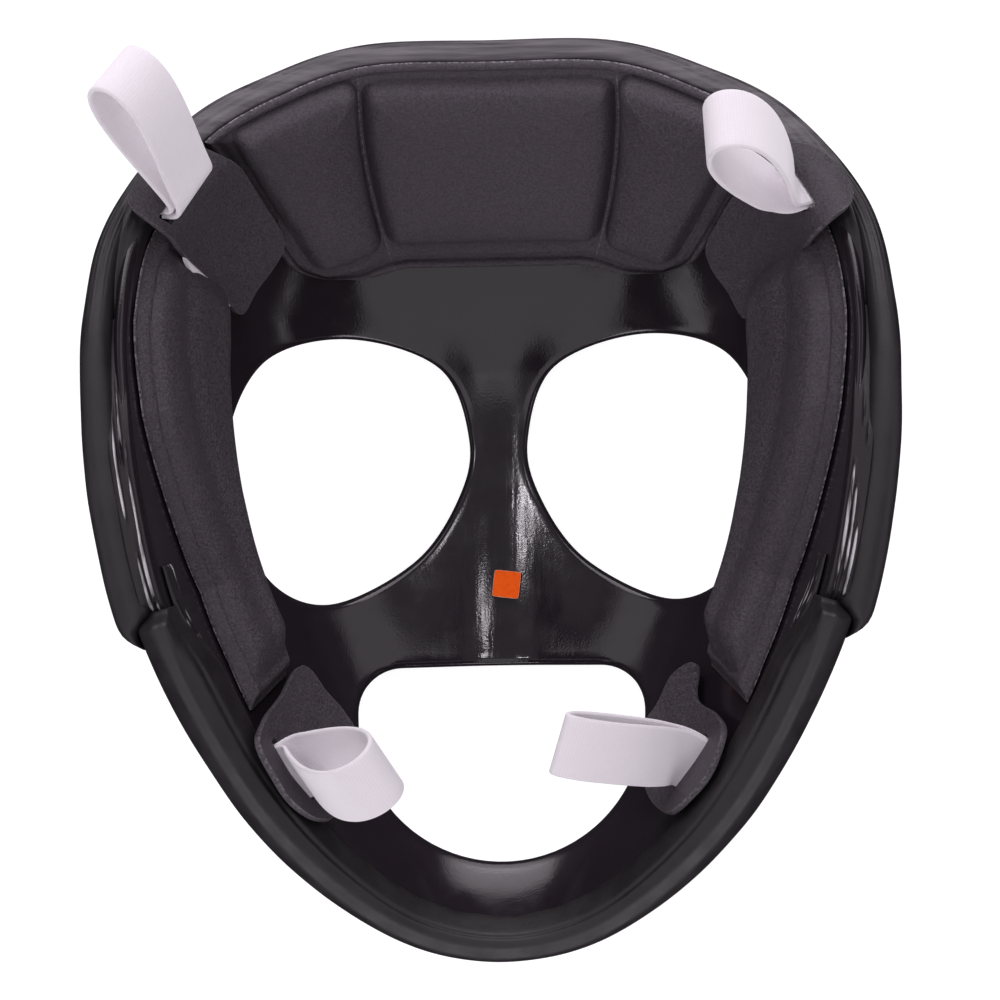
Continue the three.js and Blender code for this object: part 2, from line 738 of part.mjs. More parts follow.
// A strap loop: it leaves the slot square to the tab and turns evenly to the way that the loop points.
function loopSolid(loop) {
  const tab = TABS[loop.tab];
  const { point: foot, out, aside } = onTab(tab, tab.slot.station, tab.slot.way);
  const { line, width } = loopAxes(loop);
  if (aside.dot(width) < 0) aside.negate();
  const cross = out.clone().cross(aside);
  const turnAll = basis(line, width).multiply(basis(out, aside).transpose());
  const whole = new THREE.Quaternion().setFromRotationMatrix(turnAll);
  const none = new THREE.Quaternion();
  const turned = (vector, along) => {
    const share = smooth(STRAP_TURN_FROM, STRAP_TURN_TO, along);
    return vector.clone().applyQuaternion(none.clone().slerp(whole, share));
  };
  const centre = (along) => {
    const place = foot.clone();
    const steps = 40;
    for (let i = 0; i < steps; i += 1) {
      place.addScaledVector(turned(out, ((i + 0.5) / steps) * along), along / steps);
    }
    return place;
  };
  const drop = teardrop(loop);
  const corners = [[1, 1], [-1, 1], [-1, -1], [1, -1]];
  const sections = drop.map((point, i) => {
    const ahead = drop[Math.min(i + 1, drop.length - 1)];
    const run = ahead.clone().sub(drop[Math.max(i - 1, 0)]).normalize();
    return corners.map(([w, n]) => {
      const along = point.x - run.y * n * (STRAP_THICK / 2);
      const open = point.y + run.x * n * (STRAP_THICK / 2);
      const place = centre(along).addScaledVector(turned(aside, along), (w * STRAP_WIDTH) / 2);
      return place.addScaledVector(turned(cross, along), open);
    });
  });
  return loft(sections);
}

function labelPlate() {
  const station = 12.75;
  const reach = 0.25;
  const plate = new THREE.BoxGeometry(LABEL_SIDE, LABEL_SIDE, LABEL_THICK);
  const normal = wallNormal(station, reach);
  const place = new THREE.Quaternion().setFromUnitVectors(new THREE.Vector3(0, 0, 1), normal);
  plate.rotateZ(THREE.MathUtils.degToRad(-7));
  plate.applyQuaternion(place);
  const seat = raised(station, reach, LABEL_THICK / 2 + 0.5);
  return plate.translate(seat.x, seat.y, seat.z);
}

const GLOSS = new THREE.MeshStandardMaterial({ name: 'gloss_skin', color: 0x1d1a1d, roughness: 0.25 });
const SATIN = new THREE.MeshStandardMaterial({ name: 'satin_skin', color: 0x2a272a, roughness: 0.5 });
const VINYL = new THREE.MeshStandardMaterial({ name: 'matte_vinyl', color: 0x3a363a, roughness: 0.75 });
const ELASTIC = new THREE.MeshStandardMaterial({ name: 'white_elastic', color: 0xe6e3e6, roughness: 0.9 });
const ORANGE = new THREE.MeshStandardMaterial({ name: 'orange_label', color: 0xfa5f10, roughness: 0.6 });

const guard = new THREE.Group();
guard.name = 'face_guard';

function add(name, blank, material) {
  const geometry = toGeometry(toSolid(blank));
  geometry.computeVertexNormals();
  const mesh = new THREE.Mesh(geometry, material);
  mesh.name = name;
  guard.add(mesh);
}

add('face_shell', faceShell(), GLOSS);
add('brow_bumper', browBumper(), SATIN);
add('jaw_band', jawBand(), SATIN);
add('forehead_pad', foreheadPad(), VINYL);
add('side_pad_left', sidePad(-1), VINYL);
add('side_pad_right', sidePad(1), VINYL);
add('upper_tab_left', tabSolid(TABS.upper_left), VINYL);
add('upper_tab_right', tabSolid(TABS.upper_right), VINYL);
add('lower_tab_left', tabSolid(TABS.lower_left), VINYL);
add('lower_tab_right', tabSolid(TABS.lower_right), VINYL);
for (const loop of LOOPS) add(loop.name, loopSolid(loop), ELASTIC);
add('label', labelPlate(), ORANGE);

export default guard;
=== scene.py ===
# %% [markdown]
# A wrestling face guard lies on its front, so the side that the wearer's face goes into points up.
# It is a moulded bowl with a glossy dipped skin, a foam bumper over the brow, a satin band round the jaw,
# three vinyl pads, four vinyl tabs and four white elastic loops. Everything below hangs on one formula,
# the wall of the bowl, so each piece says where it lies on that wall and how far it stands off it.

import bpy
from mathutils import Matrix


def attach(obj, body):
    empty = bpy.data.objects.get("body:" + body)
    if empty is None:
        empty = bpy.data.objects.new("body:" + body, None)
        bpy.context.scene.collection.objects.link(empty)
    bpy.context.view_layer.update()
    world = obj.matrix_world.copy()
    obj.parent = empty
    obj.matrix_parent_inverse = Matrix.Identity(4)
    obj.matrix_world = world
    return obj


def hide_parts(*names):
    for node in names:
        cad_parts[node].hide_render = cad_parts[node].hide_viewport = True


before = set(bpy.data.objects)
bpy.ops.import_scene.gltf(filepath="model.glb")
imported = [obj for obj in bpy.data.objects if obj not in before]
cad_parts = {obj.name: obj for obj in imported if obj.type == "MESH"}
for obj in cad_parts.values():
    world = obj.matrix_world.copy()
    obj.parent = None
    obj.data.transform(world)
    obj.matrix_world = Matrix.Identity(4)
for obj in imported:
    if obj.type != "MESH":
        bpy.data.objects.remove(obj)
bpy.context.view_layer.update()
print("solids:", sorted(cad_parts))

# %% Tools and units
import math

import bmesh
import bpy
import numpy as np
from mathutils import Matrix, Vector
from mathutils.geometry import delaunay_2d_cdt

MM = 0.001
FULL_TURN = 2 * math.pi
print("shapes are worked out in millimetres,", round(1 / MM), "to the metre")

# %% [markdown]
# The camera looks straight down from less than a metre, turned by about a degree, as in a table-top photo.
# The floor glows a little, like a light table, so that the holes show white and no hard shadow falls in them.

# %% Camera
PHOTO_WIDTH = 1000
FOCAL_PIXELS = 3672
SENSOR = 36.0
CAMERA_PIVOT = Vector((0, 0, 0.060))
CAMERA_DISTANCE = 0.900
CAMERA_ROLL = math.radians(1.05)
CAMERA_YAW = math.radians(1.3)
CAMERA_SHIFT = 0.0055


def add_camera():
    """The camera's axes: a yaw about the photo's upright line, then a roll about the line of sight."""
    cos_roll, sin_roll = math.cos(CAMERA_ROLL), math.sin(CAMERA_ROLL)
    cos_yaw, sin_yaw = math.cos(CAMERA_YAW), math.sin(CAMERA_YAW)
    right = Vector((cos_roll * cos_yaw, -sin_roll * cos_yaw, -sin_yaw))
    up = Vector((sin_roll, cos_roll, 0))
    back = Vector((cos_roll * sin_yaw, -sin_roll * sin_yaw, cos_yaw))
    data = bpy.data.cameras.new("camera")
    data.sensor_width = SENSOR
    data.lens = FOCAL_PIXELS * SENSOR / PHOTO_WIDTH
    data.shift_x = CAMERA_SHIFT
    camera = bpy.data.objects.new("camera", data)
    bpy.context.scene.collection.objects.link(camera)
    axes = Matrix((right, up, back)).transposed().to_4x4()
    camera.matrix_world = Matrix.Translation(CAMERA_PIVOT + CAMERA_DISTANCE * back) @ axes
    bpy.context.scene.camera = camera
    return camera


print("camera at", [round(v, 3) for v in add_camera().location])

# %% [markdown]
# Black gloss shows nothing but its surroundings, so the lamps are placed by what the wall mirrors.
# Wide boxes hang over the chin and the crown, stand at both sides and light from beyond the brow. Smaller ones
# fill the chin and the brow's corners, and two small bright heads near the camera make the glints on the nose.

# %% Lights and floor
LAMPS = [
    # name, centre (m), size (m), roll (degrees), brightness
    ("chin_box", (0.0, -0.66, 1.18), (0.90, 1.20), 0, 0.76),
    ("chin_fill", (0.0, -1.30, 0.58), (1.10, 0.50), 0, 3.4),
    ("left_box", (-1.15, 0.07, 0.70), (1.85, 0.56), -26, 0.82),
    ("right_box", (1.07, 0.06, 0.645), (1.85, 0.66), 26, 0.75),
    ("brow_left", (-1.04, -0.60, 0.67), (0.52, 0.46), 0, 1.05),
    ("brow_right", (1.05, -0.58, 0.47), (0.50, 0.34), 0, 1.00),
    ("brow_box", (0.0, 1.15, 0.80), (1.60, 0.80), 0, 2.4),
    ("low_box", (0.0, 1.45, 0.44), (1.60, 0.40), 0, 2.2),
    ("crown_box", (0.0, 0.22, 1.50), (1.80, 1.20), 0, 0.21),
    ("nose_head_left", (-0.42, 0.10, 1.18), (0.07, 0.10), 0, 37.0),
    ("nose_head_right", (0.27, 0.29, 1.18), (0.18, 0.10), 0, 10.5),
]
LAMP_POWER = 4.0
LAMP_TINT = (1.0, 0.94, 1.01)
FLOOR_HALF = 3.0
FLOOR_GLOW = 0.86
FLOOR_TINT = 0.35


def add_lamp(name, centre, size, roll, brightness):
    """A flat box lamp that faces the guard, rolled about its own line; its power is brightness times area."""
    data = bpy.data.lights.new(name, "AREA")
    data.shape = "RECTANGLE"
    data.size, data.size_y = size
    data.energy = LAMP_POWER * brightness * size[0] * size[1]
    data.color = LAMP_TINT
    lamp = bpy.data.objects.new(name, data)
    bpy.context.scene.collection.objects.link(lamp)
    aim = (CAMERA_PIVOT - Vector(centre)).to_track_quat("-Z", "Y").to_matrix().to_4x4()
    lamp.matrix_world = Matrix.Translation(centre) @ aim @ Matrix.Rotation(math.radians(roll), 4, "Z")


def add_floor():
    """A level pale plane at the guard's lowest point."""
    corners = [(-1, -1), (1, -1), (1, 1), (-1, 1)]
    mesh = bpy.data.meshes.new("floor")
    mesh.from_pydata([(x * FLOOR_HALF, y * FLOOR_HALF, 0.0) for x, y in corners], [], [(0, 1, 2, 3)])
    floor = bpy.data.objects.new("floor", mesh)
    bpy.context.scene.collection.objects.link(floor)
    paint = bpy.data.materials.new("pale_floor")
    paint.use_nodes = True
    shader = paint.node_tree.nodes["Principled BSDF"]
    shader.inputs["Base Color"].default_value = (FLOOR_TINT, FLOOR_TINT, FLOOR_TINT, 1)
    shader.inputs["Roughness"].default_value = 1.0
    shader.inputs["Specular IOR Level"].default_value = 0.0
    shader.inputs["Emission Color"].default_value = (1, 1, 1, 1)
    shader.inputs["Emission Strength"].default_value = FLOOR_GLOW
    mesh.materials.append(paint)
    floor.visible_glossy = False


for row in LAMPS:
    add_lamp(*row)
add_floor()
world = bpy.data.worlds.new("studio")
world.use_nodes = True
world.node_tree.nodes["Background"].inputs["Color"].default_value = (0.02, 0.02, 0.02, 1)
bpy.context.scene.world = world
bpy.context.scene.view_settings.view_transform = "Standard"
print("lamps:", len(LAMPS))

# %% [markdown]
# The bowl is drawn as rows round its rim. Each row gives where the rim is, how far the wall turns towards
# upright and how boxy it is. A smooth closed curve runs through the rows, and a station is a row number on it:
# 0 is the middle of the brow, 13 the chin. Reach runs from the front of the bowl (0) to its rim (1).

# %% The rim
RIM = np.array([
    # across, up, rise, wrap, fullness, bumper, jaw
    (0, 108.4, 52, 0.80, 2.3, 2.4, 2.5),
    (30, 107.6, 54, 0.80, 2.3, 2.4, 2.5),
    (51, 100.2, 59, 0.83, 2.4, 2.8, 2.5),
    (69, 88.6, 66, 0.88, 2.6, 3.8, 2.5),
    (83.4, 67.2, 76, 0.93, 2.9, 5.4, 2.5),
    (87, 45, 84, 0.96, 3.2, 6.8, 2.5),
    (86, 22, 88, 0.97, 3.3, 8.4, 2.8),
    (83.4, 0, 88.5, 0.97, 3.3, 9.0, 3.2),
    (78.4, -24, 86, 0.965, 3.2, 9.4, 3.6),
    (69, -48, 79, 0.95, 3.0, 9.4, 3.8),
    (55.6, -72.5, 69, 0.93, 2.8, 9.4, 3.4),
    (39.2, -91.5, 59, 0.91, 2.6, 9.4, 2.8),
    (20.4, -104.6, 52, 0.90, 2.5, 9.4, 2.2),
    (0, -109.0, 50, 0.90, 2.4, 9.4, 1.9),
])
MIRROR = np.array([-1, 1, 1, 1, 1, 1, 1])
RIM_LOOP = np.vstack([RIM, RIM[-2:0:-1] * MIRROR])
ROWS = len(RIM_LOOP)
STATION_MM = 24.6


def through(points, place):
    """A closed Catmull-Rom curve: each stretch is a cubic of the four rows round it."""
    first = np.floor(place).astype(int)
    t = (place - first)[..., None]
    before, here, ahead, after = (points[(first + k) % len(points)] for k in (-1, 0, 1, 2))
    square = (2 * before - 5 * here + 4 * ahead - after) * t**2
    cube = (3 * here - before - 3 * ahead + after) * t**3
    return 0.5 * (2 * here + (ahead - before) * t + square + cube)


def rim_row(station):
    """All columns of the rim table at stations, as a tuple of arrays."""
    return np.moveaxis(through(RIM_LOOP, np.asarray(station, float)), -1, 0)


print("rim rows:", ROWS)

# %% The wall
WALL = 3.2
GAP = 0.4
PAD_GAP = 0.6
FRONT_FLAT = 1.0
FRONT_UP = 14.0
NOSE_DEPTH = 3.0
NOSE_HALF_WIDTH = 14.0
NOSE_TOP = 56.0
NOSE_TOP_FADE = 24.0
NOSE_END = -62.0
NOSE_END_FADE = 16.0
FLOOR_LEVEL = NOSE_DEPTH + WALL - FRONT_FLAT


def smooth(start, end, value):
    """An S-shaped step from 0 at start to 1 at end."""
    t = np.clip((value - start) / (end - start), 0, 1)
    return t * t * (3 - 2 * t)


def nose_dip(x, y):
    """The trough for the nose: a bell curve across, faded out at its two ends."""
    along = smooth(NOSE_TOP, NOSE_TOP - NOSE_TOP_FADE, y) * smooth(NOSE_END, NOSE_END + NOSE_END_FADE, y)
    return NOSE_DEPTH * np.exp(-((x / NOSE_HALF_WIDTH) ** 2)) * along


def wall(station, reach):
    """The inner face: a superellipse quarter from the front up to the rim, of the row's own power."""
    across, up, rise, wrap, fullness, _, _ = rim_row(station)
    power = 2 / fullness
    full = np.arcsin(wrap ** (fullness / 2))
    angle = full * reach ** (fullness / 2)
    out = np.sin(angle) ** power / wrap
    climb = (1 - np.cos(angle) ** power) / (1 - np.cos(full) ** power)
    x = across * out
    y = FRONT_UP + (up - FRONT_UP) * out
    return np.stack([x, y, FLOOR_LEVEL + (rise - FLOOR_LEVEL) * climb - nose_dip(x, y)], -1)


def unit(vectors):
    """Vectors divided by their lengths."""
    return vectors / np.linalg.norm(vectors, axis=-1, keepdims=True)


def wall_normal(station, reach, step=0.004):
    """The direction off the inner face, from small steps along it and up it."""
    reach = np.maximum(reach, 2 * step)
    along = wall(station + step, reach) - wall(station - step, reach)
    up = wall(station, reach + step) - wall(station, reach - step)
    return unit(np.cross(along, up))


def raised(station, reach, height):
    """A point at a height off the inner face; below zero it is in or behind the wall."""
    station, reach, height = np.broadcast_arrays(station, reach, height)
    return wall(station, reach) + wall_normal(station, reach) * height[..., None]


print("height of the rim at the temples:", round(float(wall(7.0, 1.0)[2]), 1), "mm")

# %% Finding a place on the wall


def find_on_wall(plan, depth):
    """Station and reach of plan points on the sheet at a depth: bearing, share of the way, then corrected."""
    table = np.linspace(0, ROWS, 2601)
    x, y = rim_row(table)[:2]
    bearings = np.unwrap(np.arctan2(x, y - FRONT_UP))
    aim = plan.copy()
    for _ in range(4):
        bearing = np.arctan2(aim[:, 0], aim[:, 1] - FRONT_UP) % FULL_TURN
        station = np.interp(bearing, bearings, table)
        across, up, _, wrap, fullness, _, _ = rim_row(station)
        out = np.hypot(aim[:, 0], aim[:, 1] - FRONT_UP) / np.hypot(across, up - FRONT_UP)
        full = np.arcsin(wrap ** (fullness / 2))
        reach = (np.arcsin((wrap * out) ** (fullness / 2)) / full) ** (2 / fullness)
        aim += plan - raised(station, reach, -depth)[:, :2]
    return station, reach


station, reach = find_on_wall(np.array([[40.0, 20.0]]), 0.0)
print("40 mm across and 20 mm up is station", round(station[0], 2), "and reach", round(reach[0], 2))

# %% [markdown]
# A few helpers turn arrays of points into meshes. A slab is two sheets on one grid, joined round the edge.
# A loft is a closed outline carried from station to station. Every mesh is closed and faces outwards.

# %% Faces of grids and rings


def grid_faces(rows, columns, wrap=False):
    """Quads of a grid of points counted row by row; wrap joins the last column to the first."""
    i, j = np.meshgrid(np.arange(rows - 1), np.arange(columns if wrap else columns - 1), indexing="ij")
    i, j = i.ravel(), j.ravel()
    k = (j + 1) % columns
    return np.stack([i * columns + j, (i + 1) * columns + j, (i + 1) * columns + k, i * columns + k], 1)


def border(rows, columns):
    """The indices once round the edge of a grid."""
    top = np.arange(columns)
    right = columns * np.arange(1, rows) + columns - 1
    bottom = columns * (rows - 1) + np.arange(columns - 2, -1, -1)
    left = columns * np.arange(rows - 2, 0, -1)
    return np.concatenate([top, right, bottom, left])


def ring_faces(first, second):
    """Quads between two closed rows of indices."""
    return np.stack([first, np.roll(first, -1), np.roll(second, -1), second], 1)


print("a grid of 3 by 4 points has", len(grid_faces(3, 4)), "faces and", len(border(3, 4)), "points on its edge")

# %% Solids


def slab(top, bottom):
    """A closed solid between two sheets of the same grid."""
    rows, columns = top.shape[:2]
    count = rows * columns
    faces = grid_faces(rows, columns)
    edge = border(rows, columns)
    points = np.concatenate([top.reshape(-1, 3), bottom.reshape(-1, 3)])
    return points, [faces, faces[:, ::-1] + count, ring_faces(edge, edge + count)]


def loft(sections):
    """A closed solid through outlines of equal count, with flat ends."""
    rows, columns = sections.shape[:2]
    ends = [np.arange(columns)[None], (rows - 1) * columns + np.arange(columns)[None]]
    return sections.reshape(-1, 3), [grid_faces(rows, columns, wrap=True), *ends]


def joined(*solids):
    """Several solids as one list of points and faces."""
    points, faces, start = [], [], 0
    for part_points, part_faces in solids:
        points.append(part_points)
        faces += [part + start for part in part_faces]
        start += len(part_points)
    return np.concatenate(points), faces


sheet = np.zeros((3, 4, 3))
print("a slab on that grid has", sum(len(part) for part in slab(sheet, sheet + 1)[1]), "faces")

# %% Pieces


def face_outwards(mesh):
    """Turns all faces of a closed mesh to point out of it."""
    work = bmesh.new()
    work.from_mesh(mesh)
    bmesh.ops.recalc_face_normals(work, faces=work.faces)
    work.to_mesh(mesh)
    work.free()


def new_piece(name, solid, material, sharp=None, values=None, uv=None):
    """An object at the origin from points in millimetres; sharp is the angle past which an edge stays crisp."""
    points, faces = solid
    mesh = bpy.data.meshes.new(name)
    mesh.from_pydata((points * MM).tolist(), [], [face for part in faces for face in part.tolist()])
    for key, value in (values or {}).items():
        mesh.attributes.new(key, "FLOAT", "POINT").data.foreach_set("value", value.astype(np.float32))
    face_outwards(mesh)
    if uv is not None:
        corner = np.empty(len(mesh.loops), np.int32)
        mesh.loops.foreach_get("vertex_index", corner)
        mesh.uv_layers.new(name="UVMap").data.foreach_set("uv", uv[corner].astype(np.float32).ravel())
    mesh.shade_smooth()
    if sharp:
        mesh.set_sharp_from_angle(angle=math.radians(sharp))
    mesh.materials.append(material)
    piece = bpy.data.objects.new(name, mesh)
    bpy.context.scene.collection.objects.link(piece)
    print(name, len(mesh.vertices), "points", len(mesh.polygons), "faces")
    return piece


def settle(piece, slot, *nodes):
    """The piece rides on the guard and stands for its solids; the slot is not used."""
    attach(piece, "root")
    if nodes:
        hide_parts(*nodes)
    return piece


def ripple(along, seed, longest=40.0, shortest=5.0, count=7):
    """A smooth random wave along a length: sine waves of falling length with seeded phases."""
    lengths = np.geomspace(longest, shortest, count)
    phases = np.random.default_rng(seed).uniform(0, FULL_TURN, count)
    waves = np.sin(FULL_TURN * np.asarray(along)[..., None] / lengths + phases)
    return (waves * lengths / lengths.sum()).sum(-1)


print("a ripple's first values:", np.round(ripple(np.arange(4.0), 0), 2).tolist())

# %% [markdown]
# Seven finishes make the guard. Four are one dipped skin: glossy with fine crinkles, dried in wet folds with
# painted glints, satin over foam, and with painted sheen in pale streaks over the brow. The others are a grained
# matte vinyl whose cut edges show pale and whose pad grooves carry a painted highlight, white woven elastic and
# orange film.
# Bump nodes carry what is too fine to model.

# %% Finish helpers


def new_finish(name, colour, roughness):
    """A material with a plain colour and roughness to start from."""
    material = bpy.data.materials.new(name)
    material.use_nodes = True
    shader = material.node_tree.nodes["Principled BSDF"]
    shader.inputs["Base Color"].default_value = (*colour, 1)
    shader.inputs["Roughness"].default_value = roughness
    return material


def add_node(material, kind, **settings):
    """A node with its sockets or properties set by name."""
    node = material.node_tree.nodes.new(kind)
    for key, value in settings.items():
        if key in node.inputs:
            node.inputs[key].default_value = value
        else:
            setattr(node, key, value)
    return node


def link(material, source, target):
    """A wire from one node's output to another's input."""
    material.node_tree.links.new(source, target)


def noise(material, scale, detail=2.0, stretch=(1, 1, 1), roughness=0.5):
    """Noise on the piece's own coordinates; scale is in waves to the metre, stretch squeezes it per axis."""
    place = add_node(material, "ShaderNodeTexCoord")
    mapping = add_node(material, "ShaderNodeMapping")
    mapping.inputs["Scale"].default_value = stretch
    texture = add_node(material, "ShaderNodeTexNoise", Scale=scale, Detail=detail, Roughness=roughness)
    link(material, place.outputs["Object"], mapping.inputs["Vector"])
    link(material, mapping.outputs["Vector"], texture.inputs["Vector"])
    return texture.outputs["Fac"]


def bump(material, height, strength, distance, under=None):
    """A bump of a height in metres, laid over another bump if there is one."""
    node = add_node(material, "ShaderNodeBump", Strength=strength, Distance=distance)
    link(material, height, node.inputs["Height"])
    if under is not None:
        link(material, under, node.inputs["Normal"])
    return node.outputs["Normal"]


def math_node(material, operation, first, second):
    """Two numbers or outputs joined by one operation."""
    node = add_node(material, "ShaderNodeMath", operation=operation)
    for socket, value in zip(node.inputs, (first, second)):
        if isinstance(value, (int, float)):
            socket.default_value = value
        else:
            link(material, value, socket)
    return node.outputs[0]


def ranged(material, value, low, high, to_low, to_high):
    """A value's range stretched to another range and cut off at its ends."""
    node = add_node(material, "ShaderNodeMapRange")
    for key, number in zip(("From Min", "From Max", "To Min", "To Max"), (low, high, to_low, to_high)):
        node.inputs[key].default_value = number
    link(material, value, node.inputs["Value"])
    return node.outputs["Result"]


def mix_colours(material, share, first, second):
    """The first colour where the share is 0, the second where it is 1."""
    node = add_node(material, "ShaderNodeMix", data_type="RGBA")
    link(material, share, node.inputs["Factor"])
    for socket, value in ((node.inputs[6], first), (node.inputs[7], second)):
        if isinstance(value, tuple):
            socket.default_value = (*value, 1)
        else:
            link(material, value, socket)
    return node.outputs[2]


def attribute(material, name):
    """A value that the piece's mesh holds at each point."""
    return add_node(material, "ShaderNodeAttribute", attribute_name=name).outputs["Fac"]


def shader_input(material, name):
    """One socket of the material's shader."""
    return material.node_tree.nodes["Principled BSDF"].inputs[name]


# %% The dipped skin, glossy and wet, with painted glints


def gloss_skin():
    """Dipped skin: mirror-like, softly uneven, with fine crinkles where the crinkle value is high."""
    material = new_finish("gloss_skin", (0.0150, 0.0115, 0.0155), 0.13)
    broad = bump(material, noise(material, 45, 1.0), 0.15, 0.0006)
    streaks = noise(material, 420, 2.0, stretch=(1.0, 0.16, 0.3))
    crinkle = math_node(material, "MULTIPLY", streaks, attribute(material, "crinkle"))
    fine = bump(material, crinkle, 0.20, 0.0005, under=broad)
    specks = bump(material, noise(material, 1800, 2.0), 0.10, 0.0002, under=fine)
    link(material, specks, shader_input(material, "Normal"))
    rough = ranged(material, noise(material, 160, 3.0), 0.35, 0.7, 0.09, 0.19)
    link(material, rough, shader_input(material, "Roughness"))
    return material


def wet_skin_painted_glints():
    """The dipped skin where it ran and dried: satin between the folds, glossy along their crests, and pale there
    as a painted glint.
    """
    material = new_finish("wet_skin_painted_glints", (0.0150, 0.0115, 0.0155), 0.5)
    runs = bump(material, noise(material, 520, 2.0), 0.35, 0.0004)
    link(material, runs, shader_input(material, "Normal"))
    wet = attribute(material, "crinkle")
    # Painted glint: where the fold value is high and streaky noise lets it through, the colour turns pale in
    # place of highlights.
    broken = ranged(material, noise(material, 480, 2.0, stretch=(1, 0.12, 0.6)), 0.42, 0.58, 0.0, 1.0)
    painted_glint = math_node(material, "MULTIPLY", ranged(material, wet, 0.36, 0.80, 0.0, 1.0), broken)
    colour = mix_colours(material, painted_glint, (0.0130, 0.0102, 0.0134), (0.62, 0.60, 0.625))
    link(material, colour, shader_input(material, "Base Color"))
    link(material, ranged(material, wet, 0.05, 0.6, 0.55, 0.15), shader_input(material, "Roughness"))
    return material


GLOSS = gloss_skin()
WET_PAINTED_GLINTS = wet_skin_painted_glints()
print("finishes:", GLOSS.name, WET_PAINTED_GLINTS.name)

# %% The skin over the brow and over foam


def brow_skin():
    """The skin over the rim's edge: satin, with painted sheen at the brow: pale streaks along the rim in place
    of the light that the top catches.
    """
    material = new_finish("brow_skin", (0.040, 0.034, 0.041), 0.42)
    # Painted sheen: pale streaks along the rim, mixed in where the brow value is high, stand in for the light on
    # the brow's top.
    streaks = ranged(material, noise(material, 420, 3.0, stretch=(0.10, 1, 1)), 0.36, 0.66, 0.0, 1.0)
    pale = mix_colours(material, streaks, (0.026, 0.022, 0.0265), (0.084, 0.075, 0.085))
    painted_sheen = attribute(material, "brow")
    colour = mix_colours(material, painted_sheen, (0.0114, 0.0090, 0.0117), pale)
    link(material, colour, shader_input(material, "Base Color"))
    ridged = math_node(material, "MULTIPLY", streaks, painted_sheen)
    link(material, bump(material, ridged, 0.25, 0.0004), shader_input(material, "Normal"))
    return material


def satin_skin():
    """The same skin over soft foam: satin, with faint long streaks and a fine orange peel."""
    material = new_finish("satin_skin", (0.020, 0.0165, 0.0205), 0.52)
    peel = bump(material, noise(material, 900, 3.0), 0.22, 0.0004)
    broad = bump(material, noise(material, 90, 2.0), 0.30, 0.0008, under=peel)
    link(material, broad, shader_input(material, "Normal"))
    tint = ranged(material, noise(material, 140, 4.0), 0.35, 0.68, 0.0, 1.0)
    colour = mix_colours(material, tint, (0.0092, 0.0072, 0.0095), (0.0136, 0.0111, 0.0140))
    link(material, colour, shader_input(material, "Base Color"))
    link(material, ranged(material, tint, 0, 1, 0.48, 0.60), shader_input(material, "Roughness"))
    return material


BROW = brow_skin()
SATIN = satin_skin()
print("finishes:", BROW.name, SATIN.name)

# %% The vinyl


def matte_vinyl():
    """Grained vinyl: a fine pebble, slightly mottled, with pale speckled cut edges and a painted highlight along
    the pad's grooves.
    """
    material = new_finish("matte_vinyl", (0.040, 0.033, 0.041), 0.60)
    pebble = bump(material, noise(material, 1400, 3.0, roughness=0.65), 0.75, 0.0005)
    broad = bump(material, noise(material, 90, 1.0), 0.14, 0.0007, under=pebble)
    link(material, broad, shader_input(material, "Normal"))
    mottle = ranged(material, noise(material, 1700, 1.5), 0.34, 0.66, 0.0, 1.0)
    body = mix_colours(material, mottle, (0.0270, 0.0217, 0.0280), (0.0620, 0.0515, 0.0635))
    # The edge value makes the cut edges pale, their own colour; along the forehead pad's grooves it paints a
    # highlight.
    speck = ranged(material, noise(material, 1300, 3.0), 0.46, 0.60, 0.10, 1.0)
    pale = math_node(material, "MULTIPLY", speck, attribute(material, "edge"))
    colour = mix_colours(material, pale, body, (0.42, 0.39, 0.425))
    link(material, colour, shader_input(material, "Base Color"))
    link(material, ranged(material, mottle, 0, 1, 0.54, 0.66), shader_input(material, "Roughness"))
    return material


VINYL = matte_vinyl()
print("finish:", VINYL.name)

# %% The elastic and the film
RIB_PERIOD = 0.75
WARP_PERIOD = 0.55
WAVE_TO_PERIOD = 0.314


def white_elastic():
    """Woven elastic: fine ribs across the strap crossed by warp threads, on the strap's own lengths."""
    material = new_finish("white_elastic", (0.80, 0.77, 0.80), 0.85)
    place = add_node(material, "ShaderNodeUVMap", uv_map="UVMap")
    heights = []
    for direction, period in (("X", RIB_PERIOD), ("Y", WARP_PERIOD)):
        wave = add_node(material, "ShaderNodeTexWave", bands_direction=direction, wave_profile="SIN")
        wave.inputs["Scale"].default_value = WAVE_TO_PERIOD / period
        wave.inputs["Distortion"].default_value = 0.6
        wave.inputs["Detail"].default_value = 1.0
        link(material, place.outputs["UV"], wave.inputs["Vector"])
        heights.append(wave.outputs["Fac"])
    weave = math_node(material, "MULTIPLY", *heights)
    threads = bump(material, weave, 0.22, 0.00025)
    fuzz = bump(material, noise(material, 2200, 2.0), 0.25, 0.0003, under=threads)
    link(material, fuzz, shader_input(material, "Normal"))
    colour = mix_colours(material, weave, (0.775, 0.742, 0.775), (0.83, 0.80, 0.83))
    link(material, colour, shader_input(material, "Base Color"))
    shader_input(material, "Sheen Weight").default_value = 0.15
    return material


def orange_film():
    """A matte orange film on a pale backing that shows at its edges."""
    material = new_finish("orange_label", (0.95, 0.115, 0.006), 0.8)
    mottle = ranged(material, noise(material, 900, 2.0), 0.4, 0.6, 0.0, 1.0)
    film = mix_colours(material, mottle, (0.94, 0.105, 0.003), (0.99, 0.125, 0.004))
    colour = mix_colours(material, attribute(material, "edge"), film, (0.62, 0.50, 0.42))
    link(material, colour, shader_input(material, "Base Color"))
    shader_input(material, "Specular IOR Level").default_value = 0.2
    return material


ELASTIC = white_elastic()
ORANGE = orange_film()
print("finishes:", ELASTIC.name, ORANGE.name)

